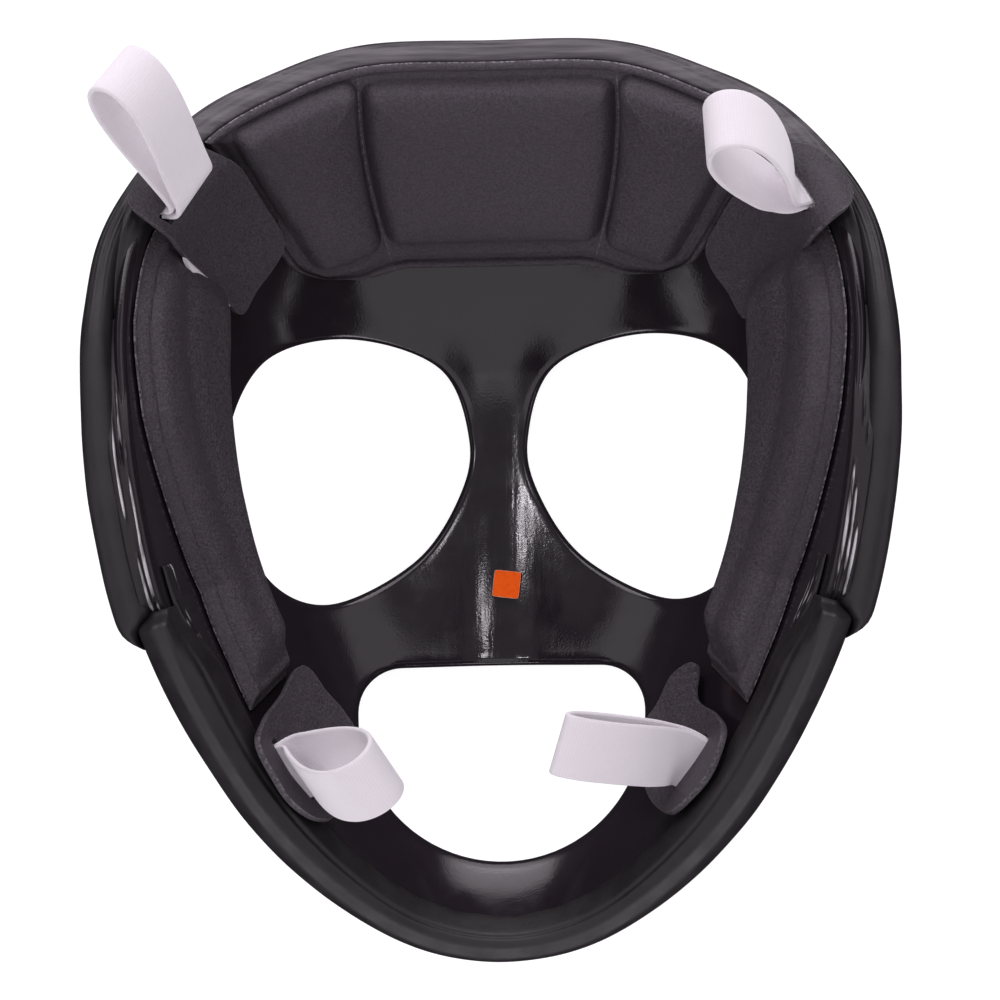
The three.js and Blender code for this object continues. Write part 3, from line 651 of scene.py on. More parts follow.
# %% [markdown]
# The bowl is one sheet with three holes. The sheet is flattened into a disc, station as the angle and reach as
# the radius, and a constrained triangulation fills the disc round the holes. Both faces use the same triangles,
# and a half-round lip closes each hole and the rim, as the dipped skin rounds every edge.

# %% Hole outlines
EYE = np.array([
    (7.7, 16), (10.5, 1), (22, -15.5), (43, -26), (58, -20.5),
    (67, -2), (68.5, 18), (59, 37), (38, 42.3), (15, 34.5),
])
MOUTH_TOP = -43.0
MOUTH_CENTRE = -55.0
MOUTH_RADIUS = 36.8
MOUTH_CORNER = 11.0
HOLE_STEP = 1.2


def even(loop, step):
    """A closed polyline drawn again with points about a step apart."""
    ring = np.vstack([loop, loop[:1]])
    length = np.concatenate([[0], np.cumsum(np.linalg.norm(np.diff(ring, axis=0), axis=1))])
    place = np.linspace(0, length[-1], max(8, int(length[-1] / step)), endpoint=False)
    return np.stack([np.interp(place, length, ring[:, k]) for k in range(loop.shape[1])], 1)


def arc(centre, radius, start, end, count=40):
    """Points of an arc between two angles in degrees."""
    angle = np.radians(np.linspace(start, end, count))
    return np.stack([centre[0] + radius * np.cos(angle), centre[1] + radius * np.sin(angle)], 1)


def eye_outline(side):
    """A smooth closed curve through the eye's points, mirrored for the left."""
    return even(through(EYE, np.linspace(0, len(EYE), 400, endpoint=False)) * (side, 1), HOLE_STEP)


def mouth_outline():
    """A half round below, and a flat top with two rounded corners."""
    inset, level = MOUTH_RADIUS - MOUTH_CORNER, MOUTH_TOP - MOUTH_CORNER
    low = arc((0, MOUTH_CENTRE), MOUTH_RADIUS, 180, 360)
    right = arc((inset, level), MOUTH_CORNER, 0, 90)
    left = arc((-inset, level), MOUTH_CORNER, 90, 180)
    return even(np.vstack([low, right, left]), HOLE_STEP)


HOLES = [eye_outline(-1), eye_outline(1), mouth_outline()]
print("points round the holes:", [len(h) for h in HOLES])

# %% Filling a flat outline with triangles


def inside(points, loop):
    """Even-odd rule: a line to the right of a point inside crosses the loop an odd number of times."""
    ahead = np.roll(loop, -1, 0)
    level = points[:, None, 1]
    crosses = (loop[:, 1] > level) != (ahead[:, 1] > level)
    slope = (ahead[:, 0] - loop[:, 0]) / np.where(ahead[:, 1] == loop[:, 1], 1, ahead[:, 1] - loop[:, 1])
    return (crosses & (points[:, None, 0] < loop[:, 0] + (level - loop[:, 1]) * slope)).sum(1) % 2 == 1


def grown(loop, distance):
    """The loop moved outwards by a distance, along the mean direction of its two neighbours."""
    run = np.roll(loop, -1, 0) - np.roll(loop, 1, 0)
    area = (loop[:, 0] * np.roll(loop[:, 1], -1) - np.roll(loop[:, 0], -1) * loop[:, 1]).sum()
    away = unit(np.stack([run[:, 1], -run[:, 0]], 1)) * np.sign(area)
    return loop + away * distance


def filled(outline, holes, spots):
    """Triangles between an outline and its holes; returns points, triangles and the indices of each loop."""
    loops = [outline, *holes]
    points = np.vstack([*loops, spots])
    starts = np.cumsum([0] + [len(loop) for loop in loops])
    edges = [
        np.stack([start + np.arange(len(loop)), start + (np.arange(len(loop)) + 1) % len(loop)], 1)
        for start, loop in zip(starts, loops)
    ]
    made = delaunay_2d_cdt([Vector(p) for p in points], np.vstack(edges).tolist(), [], 1, 1e-7)
    flat = np.array(made[0])
    triangles = np.array(made[2])
    place = np.empty(len(points), int)
    place[np.concatenate(made[3])] = np.repeat(np.arange(len(flat)), [len(k) for k in made[3]])
    middle = flat[triangles].mean(1)
    keep = np.ones(len(triangles), bool)
    for hole in holes:
        keep &= ~inside(middle, hole)
    rings = [place[start:start + len(loop)] for start, loop in zip(starts, loops)]
    return flat, triangles[keep], rings


disc, hole = arc((0, 0), 1.0, 0, 350, 36), arc((0, 0), 0.5, 0, 350, 36)
print("a disc with a hole fills with", len(filled(disc, [hole], np.zeros((0, 2)))[1]), "triangles")

# %% The disc that stands for the bowl
DISC_MM = 110.0
SHELL_STEP = 1.55 / DISC_MM
RIM_RING = 0.9895


def to_disc(station, reach):
    """Station as the angle and reach as the radius."""
    angle = FULL_TURN * np.asarray(station) / ROWS
    return np.stack([reach * np.sin(angle), reach * np.cos(angle)], -1)


def from_disc(points):
    """Station and reach of points on the disc."""
    station = np.arctan2(points[:, 0], points[:, 1]) / FULL_TURN * ROWS
    return station % ROWS, np.hypot(points[:, 0], points[:, 1])


def disc_rings():
    """Rings of points a step apart, each with as many points as its length needs."""
    rings = []
    for k, radius in enumerate(np.arange(SHELL_STEP, RIM_RING - 0.6 * SHELL_STEP, SHELL_STEP)):
        count = max(6, int(FULL_TURN * radius / SHELL_STEP))
        rings.append(to_disc((np.arange(count) + 0.5 * (k % 2)) * ROWS / count, radius))
    return np.vstack([np.zeros((1, 2)), *rings])


print("points on the disc:", len(disc_rings()))

# %% The bowl
LIP = 1.5 / DISC_MM
LIP_STEPS = 8
CRINKLE_FLOOR = 0.12


def sheets(flat):
    """The inner face and the outer face over points of the disc; the outer face is level where it rests."""
    station, reach = from_disc(flat)
    inner = wall(station, reach)
    outer = raised(station, reach, -WALL)
    outer[:, 2] = np.maximum(outer[:, 2], 0)
    return inner, outer


def lip_rows(flat, edge):
    """Rows of a half-round lip: from the inner face over the edge to the outer face."""
    station, reach = from_disc(flat)
    end_station, end_reach = from_disc(edge)
    middle = raised(station, reach, -WALL / 2)
    bulge = raised(end_station, end_reach, -WALL / 2) - middle
    normal = wall_normal(station, reach) * WALL / 2
    angle = np.linspace(0, math.pi, LIP_STEPS + 1)[1:-1, None, None]
    rows = middle + normal * np.cos(angle) + bulge * np.sin(angle)
    rows[..., 2] = np.maximum(rows[..., 2], 0)
    return rows


def bowl():
    """Inner face, outer face and lips as one closed solid, with the crinkle value of each point."""
    edges = [to_disc(*find_on_wall(hole, WALL / 2)) for hole in HOLES]
    inner_loops = [grown(edge, LIP) for edge in edges]
    rim = to_disc(np.linspace(0, ROWS, 470, endpoint=False), RIM_RING)
    rim_edge = rim / RIM_RING
    near = [grown(loop, k * SHELL_STEP) for loop in inner_loops for k in (0.8, 1.7)]
    spots = disc_rings()
    keep = np.ones(len(spots), bool)
    for loop in inner_loops:
        keep &= ~inside(spots, grown(loop, 2.3 * SHELL_STEP))
    flat, triangles, rings = filled(rim, inner_loops, np.vstack([spots[keep], *near]))
    inner, outer = sheets(flat)
    points = [inner, outer]
    faces = [triangles, triangles[:, ::-1] + len(flat)]
    start = 2 * len(flat)
    for ring, edge in zip(rings, [rim_edge, *edges]):
        rows = lip_rows(flat[ring], edge)
        rows_index = [ring, *(start + np.arange(rows[..., 0].size).reshape(rows.shape[:2])), ring + len(flat)]
        faces += [ring_faces(a, b) for a, b in zip(rows_index[:-1], rows_index[1:])]
        points.append(rows.reshape(-1, 3))
        start += rows[..., 0].size
    points = np.concatenate(points)
    # crinkles run down the nose and along the mouth's upper lip
    on_nose = np.exp(-((points[:, 0] / 13) ** 2)) * smooth(24, 8, points[:, 1]) * smooth(-48, -36, points[:, 1])
    on_lip = np.exp(-((points[:, 0] / 18) ** 4)) * np.exp(-(((points[:, 1] + 42) / 2.5) ** 2))
    return (points, faces), CRINKLE_FLOOR + (1 - CRINKLE_FLOOR) * np.maximum(on_nose, on_lip)


solid, crinkle = bowl()
settle(new_piece("shell", solid, GLOSS, values={"crinkle": crinkle}), "gloss_skin", "face_shell")

# %% [markdown]
# The bumper is a foam band glued round the outside of the rim. Its section is a rounded slab that thins out
# down the wall, with shallow lines where its layers meet. The section is carried round the rim and
# shrinks to nothing in a quarter circle at each lower end.

# %% The brow bumper
BUMPER_LOW = 0.72
BUMPER_CROWN = 0.014
BUMPER_END = 8.34
BUMPER_END_ROUND = 0.34
BUMPER_OVER_JAW = 4.7
LAYER_LINES = (0.18, 0.33, 0.49, 0.66, 0.84)
LAYER_DEPTH = 0.0013


def bumper_sections():
    """Inner face up, over the rounded top, down the outer face: reach and share of the thickness."""
    up = np.linspace(BUMPER_LOW, 0.995, 14)
    angle = np.linspace(0, math.pi, 40)[1:-1]
    down = np.linspace(0.995, BUMPER_LOW, 26)
    reach = np.concatenate([up, 1.0 + BUMPER_CROWN * np.sin(angle) ** 0.7, down])
    over = 0.5 - 0.5 * np.cos(angle)
    share = np.concatenate([0 * up, over * 0.96, smooth(0.62, 0.88, down) * (1 - 0.04 * smooth(0.9, 1, down))])
    ends = BUMPER_END - np.array([0.26, 0.2, 0.14, 0.09, 0.05, 0.02, 0.004])
    run = np.linspace(-ends[0], ends[0], 331)
    station = np.concatenate([-ends[:0:-1], run, ends[1:]])[:, None]
    left = np.clip((BUMPER_END - np.abs(station)) / BUMPER_END_ROUND, 0, 1)
    thick = rim_row(station)[5] * np.sqrt(1 - (1 - left) ** 2)
    inset = BUMPER_OVER_JAW * smooth(8.0, 8.17, np.abs(station)) * (1 - share)
    on_top = (reach > 1.0) * smooth(5.5, 3.2, np.abs(station))
    lines = sum(np.exp(-(((share - line) / 0.03) ** 2)) for line in LAYER_LINES)
    waver = 0.0016 * ripple(station * STATION_MM, 11, 70, 12) * (reach > 1.0)
    reach = reach - LAYER_DEPTH * lines * on_top + waver
    swell = 0.25 * ripple(station * STATION_MM, 12, 90, 20) * smooth(0.2, 1.0, share) * left
    depth = np.maximum(thick * share, 0) + np.minimum(inset, np.maximum(thick - 0.5, 0))
    return raised(station, reach, -(WALL + GAP) - depth - swell)


bumper = settle(new_piece("bumper", loft(bumper_sections()), SATIN), "satin_skin", "brow_bumper")

# %% [markdown]
# Over the brow the bumper's skin runs on across the shell's edge to the pad, in fine lines along the rim.
# It is a thin curved strip: a short path from the pad's flange over the edge, carried round the brow.
# Down the sides it draws back to the rim's lip, and at its ends it sinks into the foam.

# %% The skin over the brow's edge
COVER_END = 5.7
COVER_PATH = np.array([
    # reach, height off the wall, share of the bumper's thickness
    (1.003, 0.35, 0.0),
    (1.009, 0.1, 0.0),
    (1.012, -1.2, 0.0),
    (1.0138, -2.6, 0.0),
    (1.0148, -3.6, 0.08),
    (1.0152, -3.6, 0.35),
    (1.0150, -3.6, 0.62),
    (1.0112, -3.6, 0.86),
    (0.998, -3.6, 0.97),
])
COVER_LINES = 5
COVER_RIDGE = 0.0007
COVER_BACK = 0.020
COVER_FADE = 2.2
COVER_SINK = 0.034
COVER_TUCK = 0.14
COVER_THICK = 0.5


def cover_strip():
    """The path's curve at every station, with sine ridges across it that fade at both edges."""
    station = np.linspace(-COVER_END, COVER_END, 560)[:, None]
    width = np.linspace(0, 1, 64)
    beside = smooth(3.0, 3.9, np.abs(station))
    rows = np.vstack([COVER_PATH[:1], COVER_PATH, COVER_PATH[-1:]])
    path = through(rows, 1 + width * (len(COVER_PATH) - 1.001))
    wander = width + 0.02 * ripple(station * STATION_MM, 41, 80, 15)
    ridges = np.sin(FULL_TURN * COVER_LINES * wander) * np.sin(math.pi * width)
    broken = 0.5 + 0.5 * ripple(station * STATION_MM + 60 * width, 42, 50, 8)
    sunk = smooth(COVER_END - COVER_FADE, COVER_END, np.abs(station))
    height = path[:, 1] - path[:, 2] * rim_row(station)[5] * (1 - COVER_TUCK * sunk)
    reach = path[:, 0] + COVER_RIDGE * ridges * broken - COVER_BACK * beside * (1 - width) ** 5
    reach = reach - COVER_SINK * sunk
    top = raised(station, reach, height)
    # The brow value places the painted sheen: full over the brow, none down the sides.
    brow = (1 - beside + 0 * width).ravel()
    return slab(top, raised(station, reach - COVER_THICK / DISC_MM, height)), np.concatenate([brow, brow])


solid, brow = cover_strip()
settle(new_piece("rim_cover", solid, BROW, values={"brow": brow}), "satin_skin")

# %% [markdown]
# Lower down, where the bumper meets the shell, the dipped skin bridges the groove and dries in wet-looking
# folds. They are ridges that run along the rim and wander a little, on a thin ribbon that follows the groove.
# Their crests carry a painted glint: a pale colour in place of highlights.

# %% The folded skin along the rim
SKIN_FROM = 5.0
SKIN_TO = 8.15
SKIN_FOLDS = (0.24, 0.50, 0.76)
FOLD_HALF = 0.080
FOLD_WANDER = 0.08
FOLD_WET = 0.30
SKIN_THICK = 0.5


def skin_ribbon(side):
    """A ribbon from the rim's inner edge to the bumper's crown; each fold is a bell curve that wanders."""
    station = np.linspace(SKIN_FROM, SKIN_TO, 620)[:, None]
    width = np.linspace(0, 1, 56)
    along = station * STATION_MM
    thick = rim_row(station)[5]
    low = 0.35 + 0.65 * smooth(5.9, 6.5, station)
    lift = np.zeros(np.broadcast_shapes(station.shape, width.shape))
    for k, fold in enumerate(SKIN_FOLDS):
        place = fold + FOLD_WANDER * ripple(along, 20 + k + 7 * side, 80, 25)
        tall = low * np.maximum(0.16 + 1.25 * ripple(along, 30 + k + 7 * side, 70, 14), 0)
        lift = lift + tall * np.exp(-(((width - place) / FOLD_HALF) ** 2))
    fade = np.sin(math.pi * width) ** 0.35
    ends = smooth(SKIN_FROM, SKIN_FROM + 1.5, station) * smooth(SKIN_TO, SKIN_TO - 0.25, station)
    height = -0.4 - (WALL + GAP - 0.4 + 0.13 * thick) * width
    reach = 0.9925 + (0.0090 + 0.0105 * width + lift * fade / DISC_MM) * ends
    step = station if side > 0 else ROWS - station
    top = raised(step, reach, height)
    # The fold's height sets how glossy the skin is and, where it is high, the painted glint on the crests.
    wet = np.clip(lift * fade * ends / FOLD_WET, 0, 1).ravel()
    return slab(top, raised(step, reach - SKIN_THICK / DISC_MM, height)), np.concatenate([wet, wet])


(left, left_wet), (right, right_wet) = skin_ribbon(-1), skin_ribbon(1)
# Under the crinkle key these values also place the painted glints.
wet = {"crinkle": np.concatenate([left_wet, right_wet])}
settle(new_piece("rim_skin", joined(left, right), WET_PAINTED_GLINTS, values=wet), "gloss_skin")

# %% [markdown]
# The jaw band is a channel that hugs the lower rim: a flange outside, a rounded top and a short lip inside.
# Its outline is a closed curve through a few corners. At each upper end a tongue runs on inside the rim.

# %% The jaw band
JAW_START = 8.02
JAW_FREE = 8.17
JAW_FULL = 8.75
JAW_TONGUE = 7.62
JAW_OUTER_LOW = 0.835
JAW_INNER_LOW = 0.945
JAW_TOP = 1.026
JAW_SUNK = 0.022


def jaw_sections():
    """Corners of the channel in reach and height, joined by a closed curve at each station."""
    station = np.linspace(JAW_START, ROWS - JAW_START, 380)[:, None]
    along = station * STATION_MM
    early = 1 - smooth(JAW_START, JAW_FULL, np.minimum(station, ROWS - station))
    outside = rim_row(station)[6] + 0.2 * ripple(along, 51, 60, 15)
    thick = outside * (1 - 0.86 * early)
    back = -(WALL + PAD_GAP) + 0 * thick
    gap = PAD_GAP + 0 * thick
    low = JAW_INNER_LOW + 0.004 * ripple(along, 52, 18, 4) + 0.025 * early
    corners = [
        (0.90, back), (0.96, back), (1.002, back), (1.005, 0.5 * (back + gap)), (1.002, gap),
        (0.97 + 0.014 * early, gap), (low, gap), (low + 0.002, gap + 0.7 * thick),
        (0.963 + 0.020 * early, gap + 0.97 * thick), (0.985 + 0.008 * early, gap + thick),
        (1.004, gap + 0.9 * thick), (1.010, gap + 0.62 * thick), (1.018, gap + 0.50 * thick),
        (JAW_TOP, gap - 0.2 * thick),
        (JAW_TOP + 0.001, 0.5 * (back + gap)), (JAW_TOP, back), (1.012, back - outside),
        (0.985, back - 1.1 * outside), (0.94, back - 1.08 * outside), (0.89, back - 0.75 * outside),
        (JAW_OUTER_LOW + 0.01, back - 0.3 * outside), (JAW_OUTER_LOW, back - 0.05), (0.86, back),
    ]
    knots = np.stack([np.stack(np.broadcast_arrays(r, h), -1)[:, 0] for r, h in corners], 0)
    place = np.linspace(0, len(corners), 5 * len(corners), endpoint=False)
    outline = through(knots.reshape(len(corners), -1), place).reshape(len(place), -1, 2)
    outline = np.swapaxes(outline, 0, 1)
    sunk = 1 - smooth(JAW_START, JAW_FREE, np.minimum(station, ROWS - station))
    reach = outline[..., 0] - JAW_SUNK * sunk * smooth(0.93, 1.0, outline[..., 0])
    return raised(station, reach, outline[..., 1])


def jaw_tongue(side):
    """A low ridge inside the rim with a blunt upper end and wet lines along it, which are sines cut off at 0;
    the lines carry a painted glint.
    """
    share = np.linspace(0, 1, 60)[:, None]
    step = JAW_TONGUE + (JAW_FREE + 0.25 - JAW_TONGUE) * share
    station = step if side > 0 else ROWS - step
    across = np.linspace(-1, 1, 22)
    lines = np.clip(np.sin(11 * across + 2 * ripple(step * STATION_MM, 62, 60, 15)), 0, 1) * (1 - across**4)
    wet = lines * np.clip(0.55 + 1.5 * ripple(step * STATION_MM + 9 * across, 63 + side, 24, 4), 0, 1)
    rise = (0.7 + 0.8 * smooth(0.2, 0.9, share)) * (1 - across**4) ** 0.5 * smooth(-0.02, 0.10, share) ** 0.5
    reach = 0.9635 + 0.0155 * across
    top = raised(station, reach, PAD_GAP + 0.05 + np.maximum(rise + 0.3 * lines, 0.05))
    wet = wet.ravel()
    return slab(top, raised(station, reach, PAD_GAP - 0.1 + 0 * rise)), np.concatenate([wet, 0 * wet])


jaw = settle(new_piece("jaw", loft(jaw_sections()), SATIN), "satin_skin", "jaw_band")
(left, left_wet), (right, right_wet) = jaw_tongue(-1), jaw_tongue(1)
# The wet lines' values also place the painted glints on the tongues.
wet = {"crinkle": np.concatenate([left_wet, right_wet])}
settle(new_piece("jaw_tongues", joined(left, right), WET_PAINTED_GLINTS, values=wet), "satin_skin")

# %% [markdown]
# The forehead pad is heat-pressed foam: three cells swell out of a thin flange, with narrow grooves between.
# How far a point lies inside its cell, with rounded corners, decides how high the foam stands there.

# %% Pressed foam
PAD_FLANGE = 1.6
BEAD_HALF = 1.1


def crown(depth, steep=0.75, slow=6.0):
    """Rise of pressed foam from its crease: half of it within a millimetre, the rest over a few."""
    depth = np.maximum(depth, 0)
    return 1 - 0.55 * np.exp(-depth / steep) - 0.45 * np.exp(-depth / slow)


def rolled(depth):
    """Thickness of the flange: a round bead along its edge, a crease behind it, then the full flange."""
    bead = np.sqrt(np.clip(1 - ((depth - BEAD_HALF) / BEAD_HALF) ** 2, 0, 1)) * (depth < 2 * BEAD_HALF)
    behind = smooth(2 * BEAD_HALF, 2 * BEAD_HALF + 2.5, depth)
    return PAD_FLANGE * (0.40 + 0.65 * bead + 0.60 * behind)


def in_corner(first, second, radius):
    """Depth inside two edges that meet in a rounded corner."""
    corner = (first < radius) & (second < radius)
    rounded = radius - np.hypot(radius - first, radius - second)
    return np.where(corner, rounded, np.minimum(first, second))


def lengths(points, axis):
    """Length along a grid line, counted from its first point."""
    steps = np.linalg.norm(np.diff(points, axis=axis), axis=-1)
    start = np.zeros_like(np.take(steps, [0], axis))
    return np.concatenate([start, np.cumsum(steps, axis)], axis)


def crowded(count, squeeze=0.6):
    """Shares from 0 to 1 that lie closer together at both ends."""
    even_share = np.linspace(0, 1, count)
    return (1 - squeeze) * even_share + squeeze * (0.5 - 0.5 * np.cos(math.pi * even_share))


print("foam 1 and 5 mm from its crease stands at", np.round(crown(np.array([1.0, 5.0])), 2).tolist())

# %% The forehead pad
FOREHEAD_END = 3.0
FOREHEAD_FLARE = 0.42
FOREHEAD_TOP = 1.006
FOREHEAD_LOW = 58.0
FOREHEAD_ARCH = 2.6
FOREHEAD_THICK = 9.0
GROOVE_TOP = 1.08
GROOVE_FLARE = 0.8
TOP_FLANGE = (2.4, 4.4, 2.4)
LOW_FLANGE = 7.6
WING_FLANGE = 6.0
GROOVE_HALF = 0.7
CELL_CORNER = 4.0
PAD_CORNER = 0.12
CORNER_DRAWN = 0.09
ARCH_FADE = (1.5, 2.7)
CUT_EDGE = 0.16
CUT_PALE = 0.8
GROOVE_HIGHLIGHT = 0.45


def forehead_pad():
    """Stations across and shares down; the cells' borders are fixed columns of the grid."""
    down = crowded(130, 0.8)
    cells = [crowded(78), crowded(104), crowded(78)]
    reduce = np.clip((down - (1 - PAD_CORNER)) / PAD_CORNER, 0, 1)
    end = (FOREHEAD_END + FOREHEAD_FLARE * down) * (1 - CORNER_DRAWN * (1 - np.sqrt(1 - reduce**2)))
    groove = GROOVE_TOP + GROOVE_FLARE * down
    borders = np.stack([-end, -groove, groove, end])[..., None]
    columns = [borders[k] + cells[k] * (borders[k + 1] - borders[k]) for k in range(3)]
    station = np.concatenate([columns[0], columns[1][:, 1:], columns[2][:, 1:]], 1)
    up, wrap, fullness = rim_row(station)[1], rim_row(station)[3], rim_row(station)[4]
    low_line = FOREHEAD_LOW + FOREHEAD_ARCH * (1 - smooth(*ARCH_FADE, np.abs(station)))
    out = (low_line - FRONT_UP) / (up - FRONT_UP)
    full = np.arcsin(wrap ** (fullness / 2))
    low = (np.arcsin((wrap * out) ** (fullness / 2)) / full) ** (2 / fullness)
    reach = FOREHEAD_TOP + (low - FOREHEAD_TOP) * down[:, None]
    base = wall(station, reach)
    across, below = lengths(base, 1), lengths(base, 0)
    marks = np.cumsum([0] + [len(c) - 1 for c in cells])
    height = np.zeros_like(reach)
    for k in range(3):
        left = across - across[:, marks[k]:marks[k] + 1] - (WING_FLANGE if k == 0 else GROOVE_HALF)
        right = across[:, marks[k + 1]:marks[k + 1] + 1] - across - (WING_FLANGE if k == 2 else GROOVE_HALF)
        top, bottom = below - TOP_FLANGE[k], below[-1:] - below - LOW_FLANGE
        sides = in_corner(np.minimum(left, right), np.minimum(top, bottom), CELL_CORNER)
        height = np.maximum(height, crown(sides) * (sides > 0))
    swell = (FOREHEAD_THICK - PAD_FLANGE) * height
    edge_depth = np.minimum(np.minimum(across, across[:, -1:] - across), np.minimum(below, below[-1:] - below))
    cut = np.where(edge_depth < CUT_EDGE, CUT_PALE, 0.0)
    # The grooves get a painted highlight: the pale edge colour, fading in below the top flange.
    grooves = marks[1:3]
    cut[:, grooves] = np.maximum(cut[:, grooves], GROOVE_HIGHLIGHT * smooth(0, TOP_FLANGE[1], below[:, grooves]))
    top = raised(station, reach, PAD_GAP + rolled(edge_depth) + swell)
    solid = slab(top, raised(station, reach, PAD_GAP + 0 * swell))
    # The top sheet keeps only the grooves' painted highlight; the pale cut edge shows on the sides.
    pressed = np.where(edge_depth < CUT_EDGE, 0.0, cut)
    return solid, np.concatenate([pressed.ravel(), cut.ravel()])


solid, edge = forehead_pad()
piece = new_piece("forehead", solid, VINYL, sharp=50, values={"edge": edge})
settle(piece, "matte_vinyl", "forehead_pad")

# %% [markdown]
# A side pad lies along the temple and cheek. It has a flange on the rim side only, a full crown behind it,
# a shallow press line that wanders from its outer to its inner side, and it drops off over the eye hole.

# %% The side pads
SIDE_PAD = np.array([
    # station, outer reach, inner reach
    (3.86, 0.97, 0.76),
    (5, 0.98, 0.74),
    (6, 0.965, 0.745),
    (7, 0.925, 0.745),
    (8, 0.885, 0.735),
    (8.8, 0.89, 0.735),
    (9.28, 0.90, 0.76),
])
SIDE_THICK = {-1: 9.5, 1: 12.0}
SIDE_SPREAD = {-1: 0.0, 1: 0.010}
SIDE_FLANGE = 3.2
SIDE_EDGE = 0.6
SIDE_RISE = 2.6
SIDE_END_ROUND = 14.0
SIDE_DROP = 7.0
PRESS_LINE = 1.5
PRESS_WIDTH = 5.0
PRESS_FROM = 0.34
PRESS_OVER = 0.36


def side_pad(side):
    """Shares along and across; crown from the flange, rounded drop at the inner edge, faded at the ends."""
    along = crowded(260, 0.3)[:, None]
    across = crowded(90, 0.5)
    step = SIDE_PAD[0, 0] + along * (SIDE_PAD[-1, 0] - SIDE_PAD[0, 0])
    outer = np.interp(step, SIDE_PAD[:, 0], SIDE_PAD[:, 1])
    inner = np.interp(step, SIDE_PAD[:, 0], SIDE_PAD[:, 2]) - SIDE_SPREAD[side]
    station = step if side > 0 else ROWS - step
    reach = outer + (inner - outer) * across
    base = wall(station + 0 * reach, reach)
    run, width = lengths(base, 0), lengths(base, 1)
    from_flange = width - SIDE_FLANGE
    to_edge = width[:, -1:] - width
    to_end = np.minimum(run, run[-1:] - run)
    drop = np.sqrt(np.clip(1 - (1 - np.clip(to_edge / SIDE_DROP, 0, 1)) ** 2, 0, 1))
    ends = smooth(0, SIDE_END_ROUND, to_end) ** 0.7
    valley = (PRESS_FROM + PRESS_OVER * along) * width[:, -1:]
    press = PRESS_LINE * np.exp(-(((width - valley) / PRESS_WIDTH) ** 2)) * ends
    full = (SIDE_THICK[side] - PAD_FLANGE) * crown(from_flange) * (from_flange > 0)
    swell = full * (0.30 + 0.70 * drop) * ends
    edge_depth = np.minimum(width, run[-1:] - run)
    slope = SIDE_EDGE + SIDE_RISE * smooth(0, SIDE_FLANGE, edge_depth)
    height = PAD_GAP + slope + np.maximum(swell - SIDE_RISE * (swell > 0) - press * (swell > 2), 0)
    solid = slab(raised(station, reach, height), raised(station, reach, PAD_GAP + 0 * height))
    cut = np.where(edge_depth < CUT_EDGE, CUT_PALE, 0.0).ravel()
    return solid, np.concatenate([0 * cut, cut])


for side, name in ((-1, "left"), (1, "right")):
    solid, edge = side_pad(side)
    piece = new_piece(f"side_{name}", solid, VINYL, sharp=50, values={"edge": edge})
    settle(piece, "matte_vinyl", f"side_pad_{name}")

# %% [markdown]
# Each tab is a die-cut vinyl patch that bridges from the rim to the wall, with a slot that the elastic
# comes out of. Its outline is drawn by station and by the way along the patch, and a short table says how far
# out and how high the patch lies at each way. The upper ones fold over the rim onto the bumper.

# %% Where the tabs and loops lie
UPPER_PATH = np.array([
    # way (mm), reach, height
    (0, 1.012, -8.6),
    (4, 1.021, -5.0),
    (9, 1.026, -0.5),
    (13, 1.018, 3.0),
    (17, 1.000, 5.2),
    (21, 0.980, 6.0),
    (27, 0.950, 5.7),
    (37, 0.895, 5.0),
    (50, 0.800, 4.4),
    (58, 0.730, 3.9),
    (66, 0.660, 3.2),
])
LOWER_PATH = np.array([
    (-6, 1.028, 4.8),
    (0, 1.004, 5.4),
    (5, 0.975, 5.6),
    (14, 0.925, 5.0),
    (21, 0.880, 4.6),
    (34, 0.790, 3.8),
    (42, 0.735, 3.2),
    (50, 0.675, 2.6),
])
TABS = {
    # middle station, station and way of the slot, corners as station and way from the outer end
    ("upper", -1): dict(
        path=UPPER_PATH, middle=3.6, slot=(3.54, 15.3),
        corners=[(3.06, 15), (3.22, 8.5), (3.5, 5), (3.82, 5.5), (3.95, 12), (4.06, 24), (4.13, 36), (4.21, 50),
                 (4.40, 60), (3.78, 63), (3.22, 61.5), (3.04, 48.5), (2.95, 28)],
    ),
    ("upper", 1): dict(
        path=UPPER_PATH, middle=3.7, slot=(3.66, 15.5),
        corners=[(3.18, 16), (3.34, 8.5), (3.62, 5), (3.93, 5.5), (4.08, 12), (4.20, 22), (4.27, 41),
                 (4.35, 51), (4.58, 61.5), (3.95, 65), (3.43, 64), (3.25, 53), (3.18, 34)],
    ),
    ("lower", -1): dict(
        path=LOWER_PATH, middle=9.9, slot=(9.88, 6.5),
        corners=[(9.46, -0.5), (9.8, -3.6), (10.2, -2.5), (10.48, 5), (10.53, 14), (10.50, 30), (10.48, 43),
                 (10.1, 46), (9.75, 45), (9.30, 42), (9.34, 26), (9.36, 11)],
    ),
    ("lower", 1): dict(
        path=LOWER_PATH, middle=9.9, slot=(10.02, 16.5),
        corners=[(9.55, 9), (9.84, 3), (10.2, 3.5), (10.52, 8), (10.68, 26), (10.5, 44),
                 (10.1, 47), (9.66, 48), (9.36, 42), (9.60, 34), (9.52, 21)],
    ),
}
LOOPS = {
    # tab, bearing, rise and strap's bearing (degrees), length, half opening,
    # form of the drop, share of the width at the slot
    "upper_loop_left": (("upper", -1), 120, 35, 55, 43, 6.3, 1.15, 1.0),
    "upper_loop_right": (("upper", 1), 140, 51.5, 92, 40.5, 7.2, 0.62, 0.65),
    "lower_loop_left": (("lower", -1), -6, 52.5, -59, 36.5, 7.7, 0.58, 1.0),
    "lower_loop_right": (("lower", 1), 171, 30, -107, 39, 3.0, 0.54, 0.9),
}
TAILS = {
    # where the strap's end shows past the tab: from and to along the way, and how far in stations
    "upper_loop_left": (33, 58, 0.11),
}


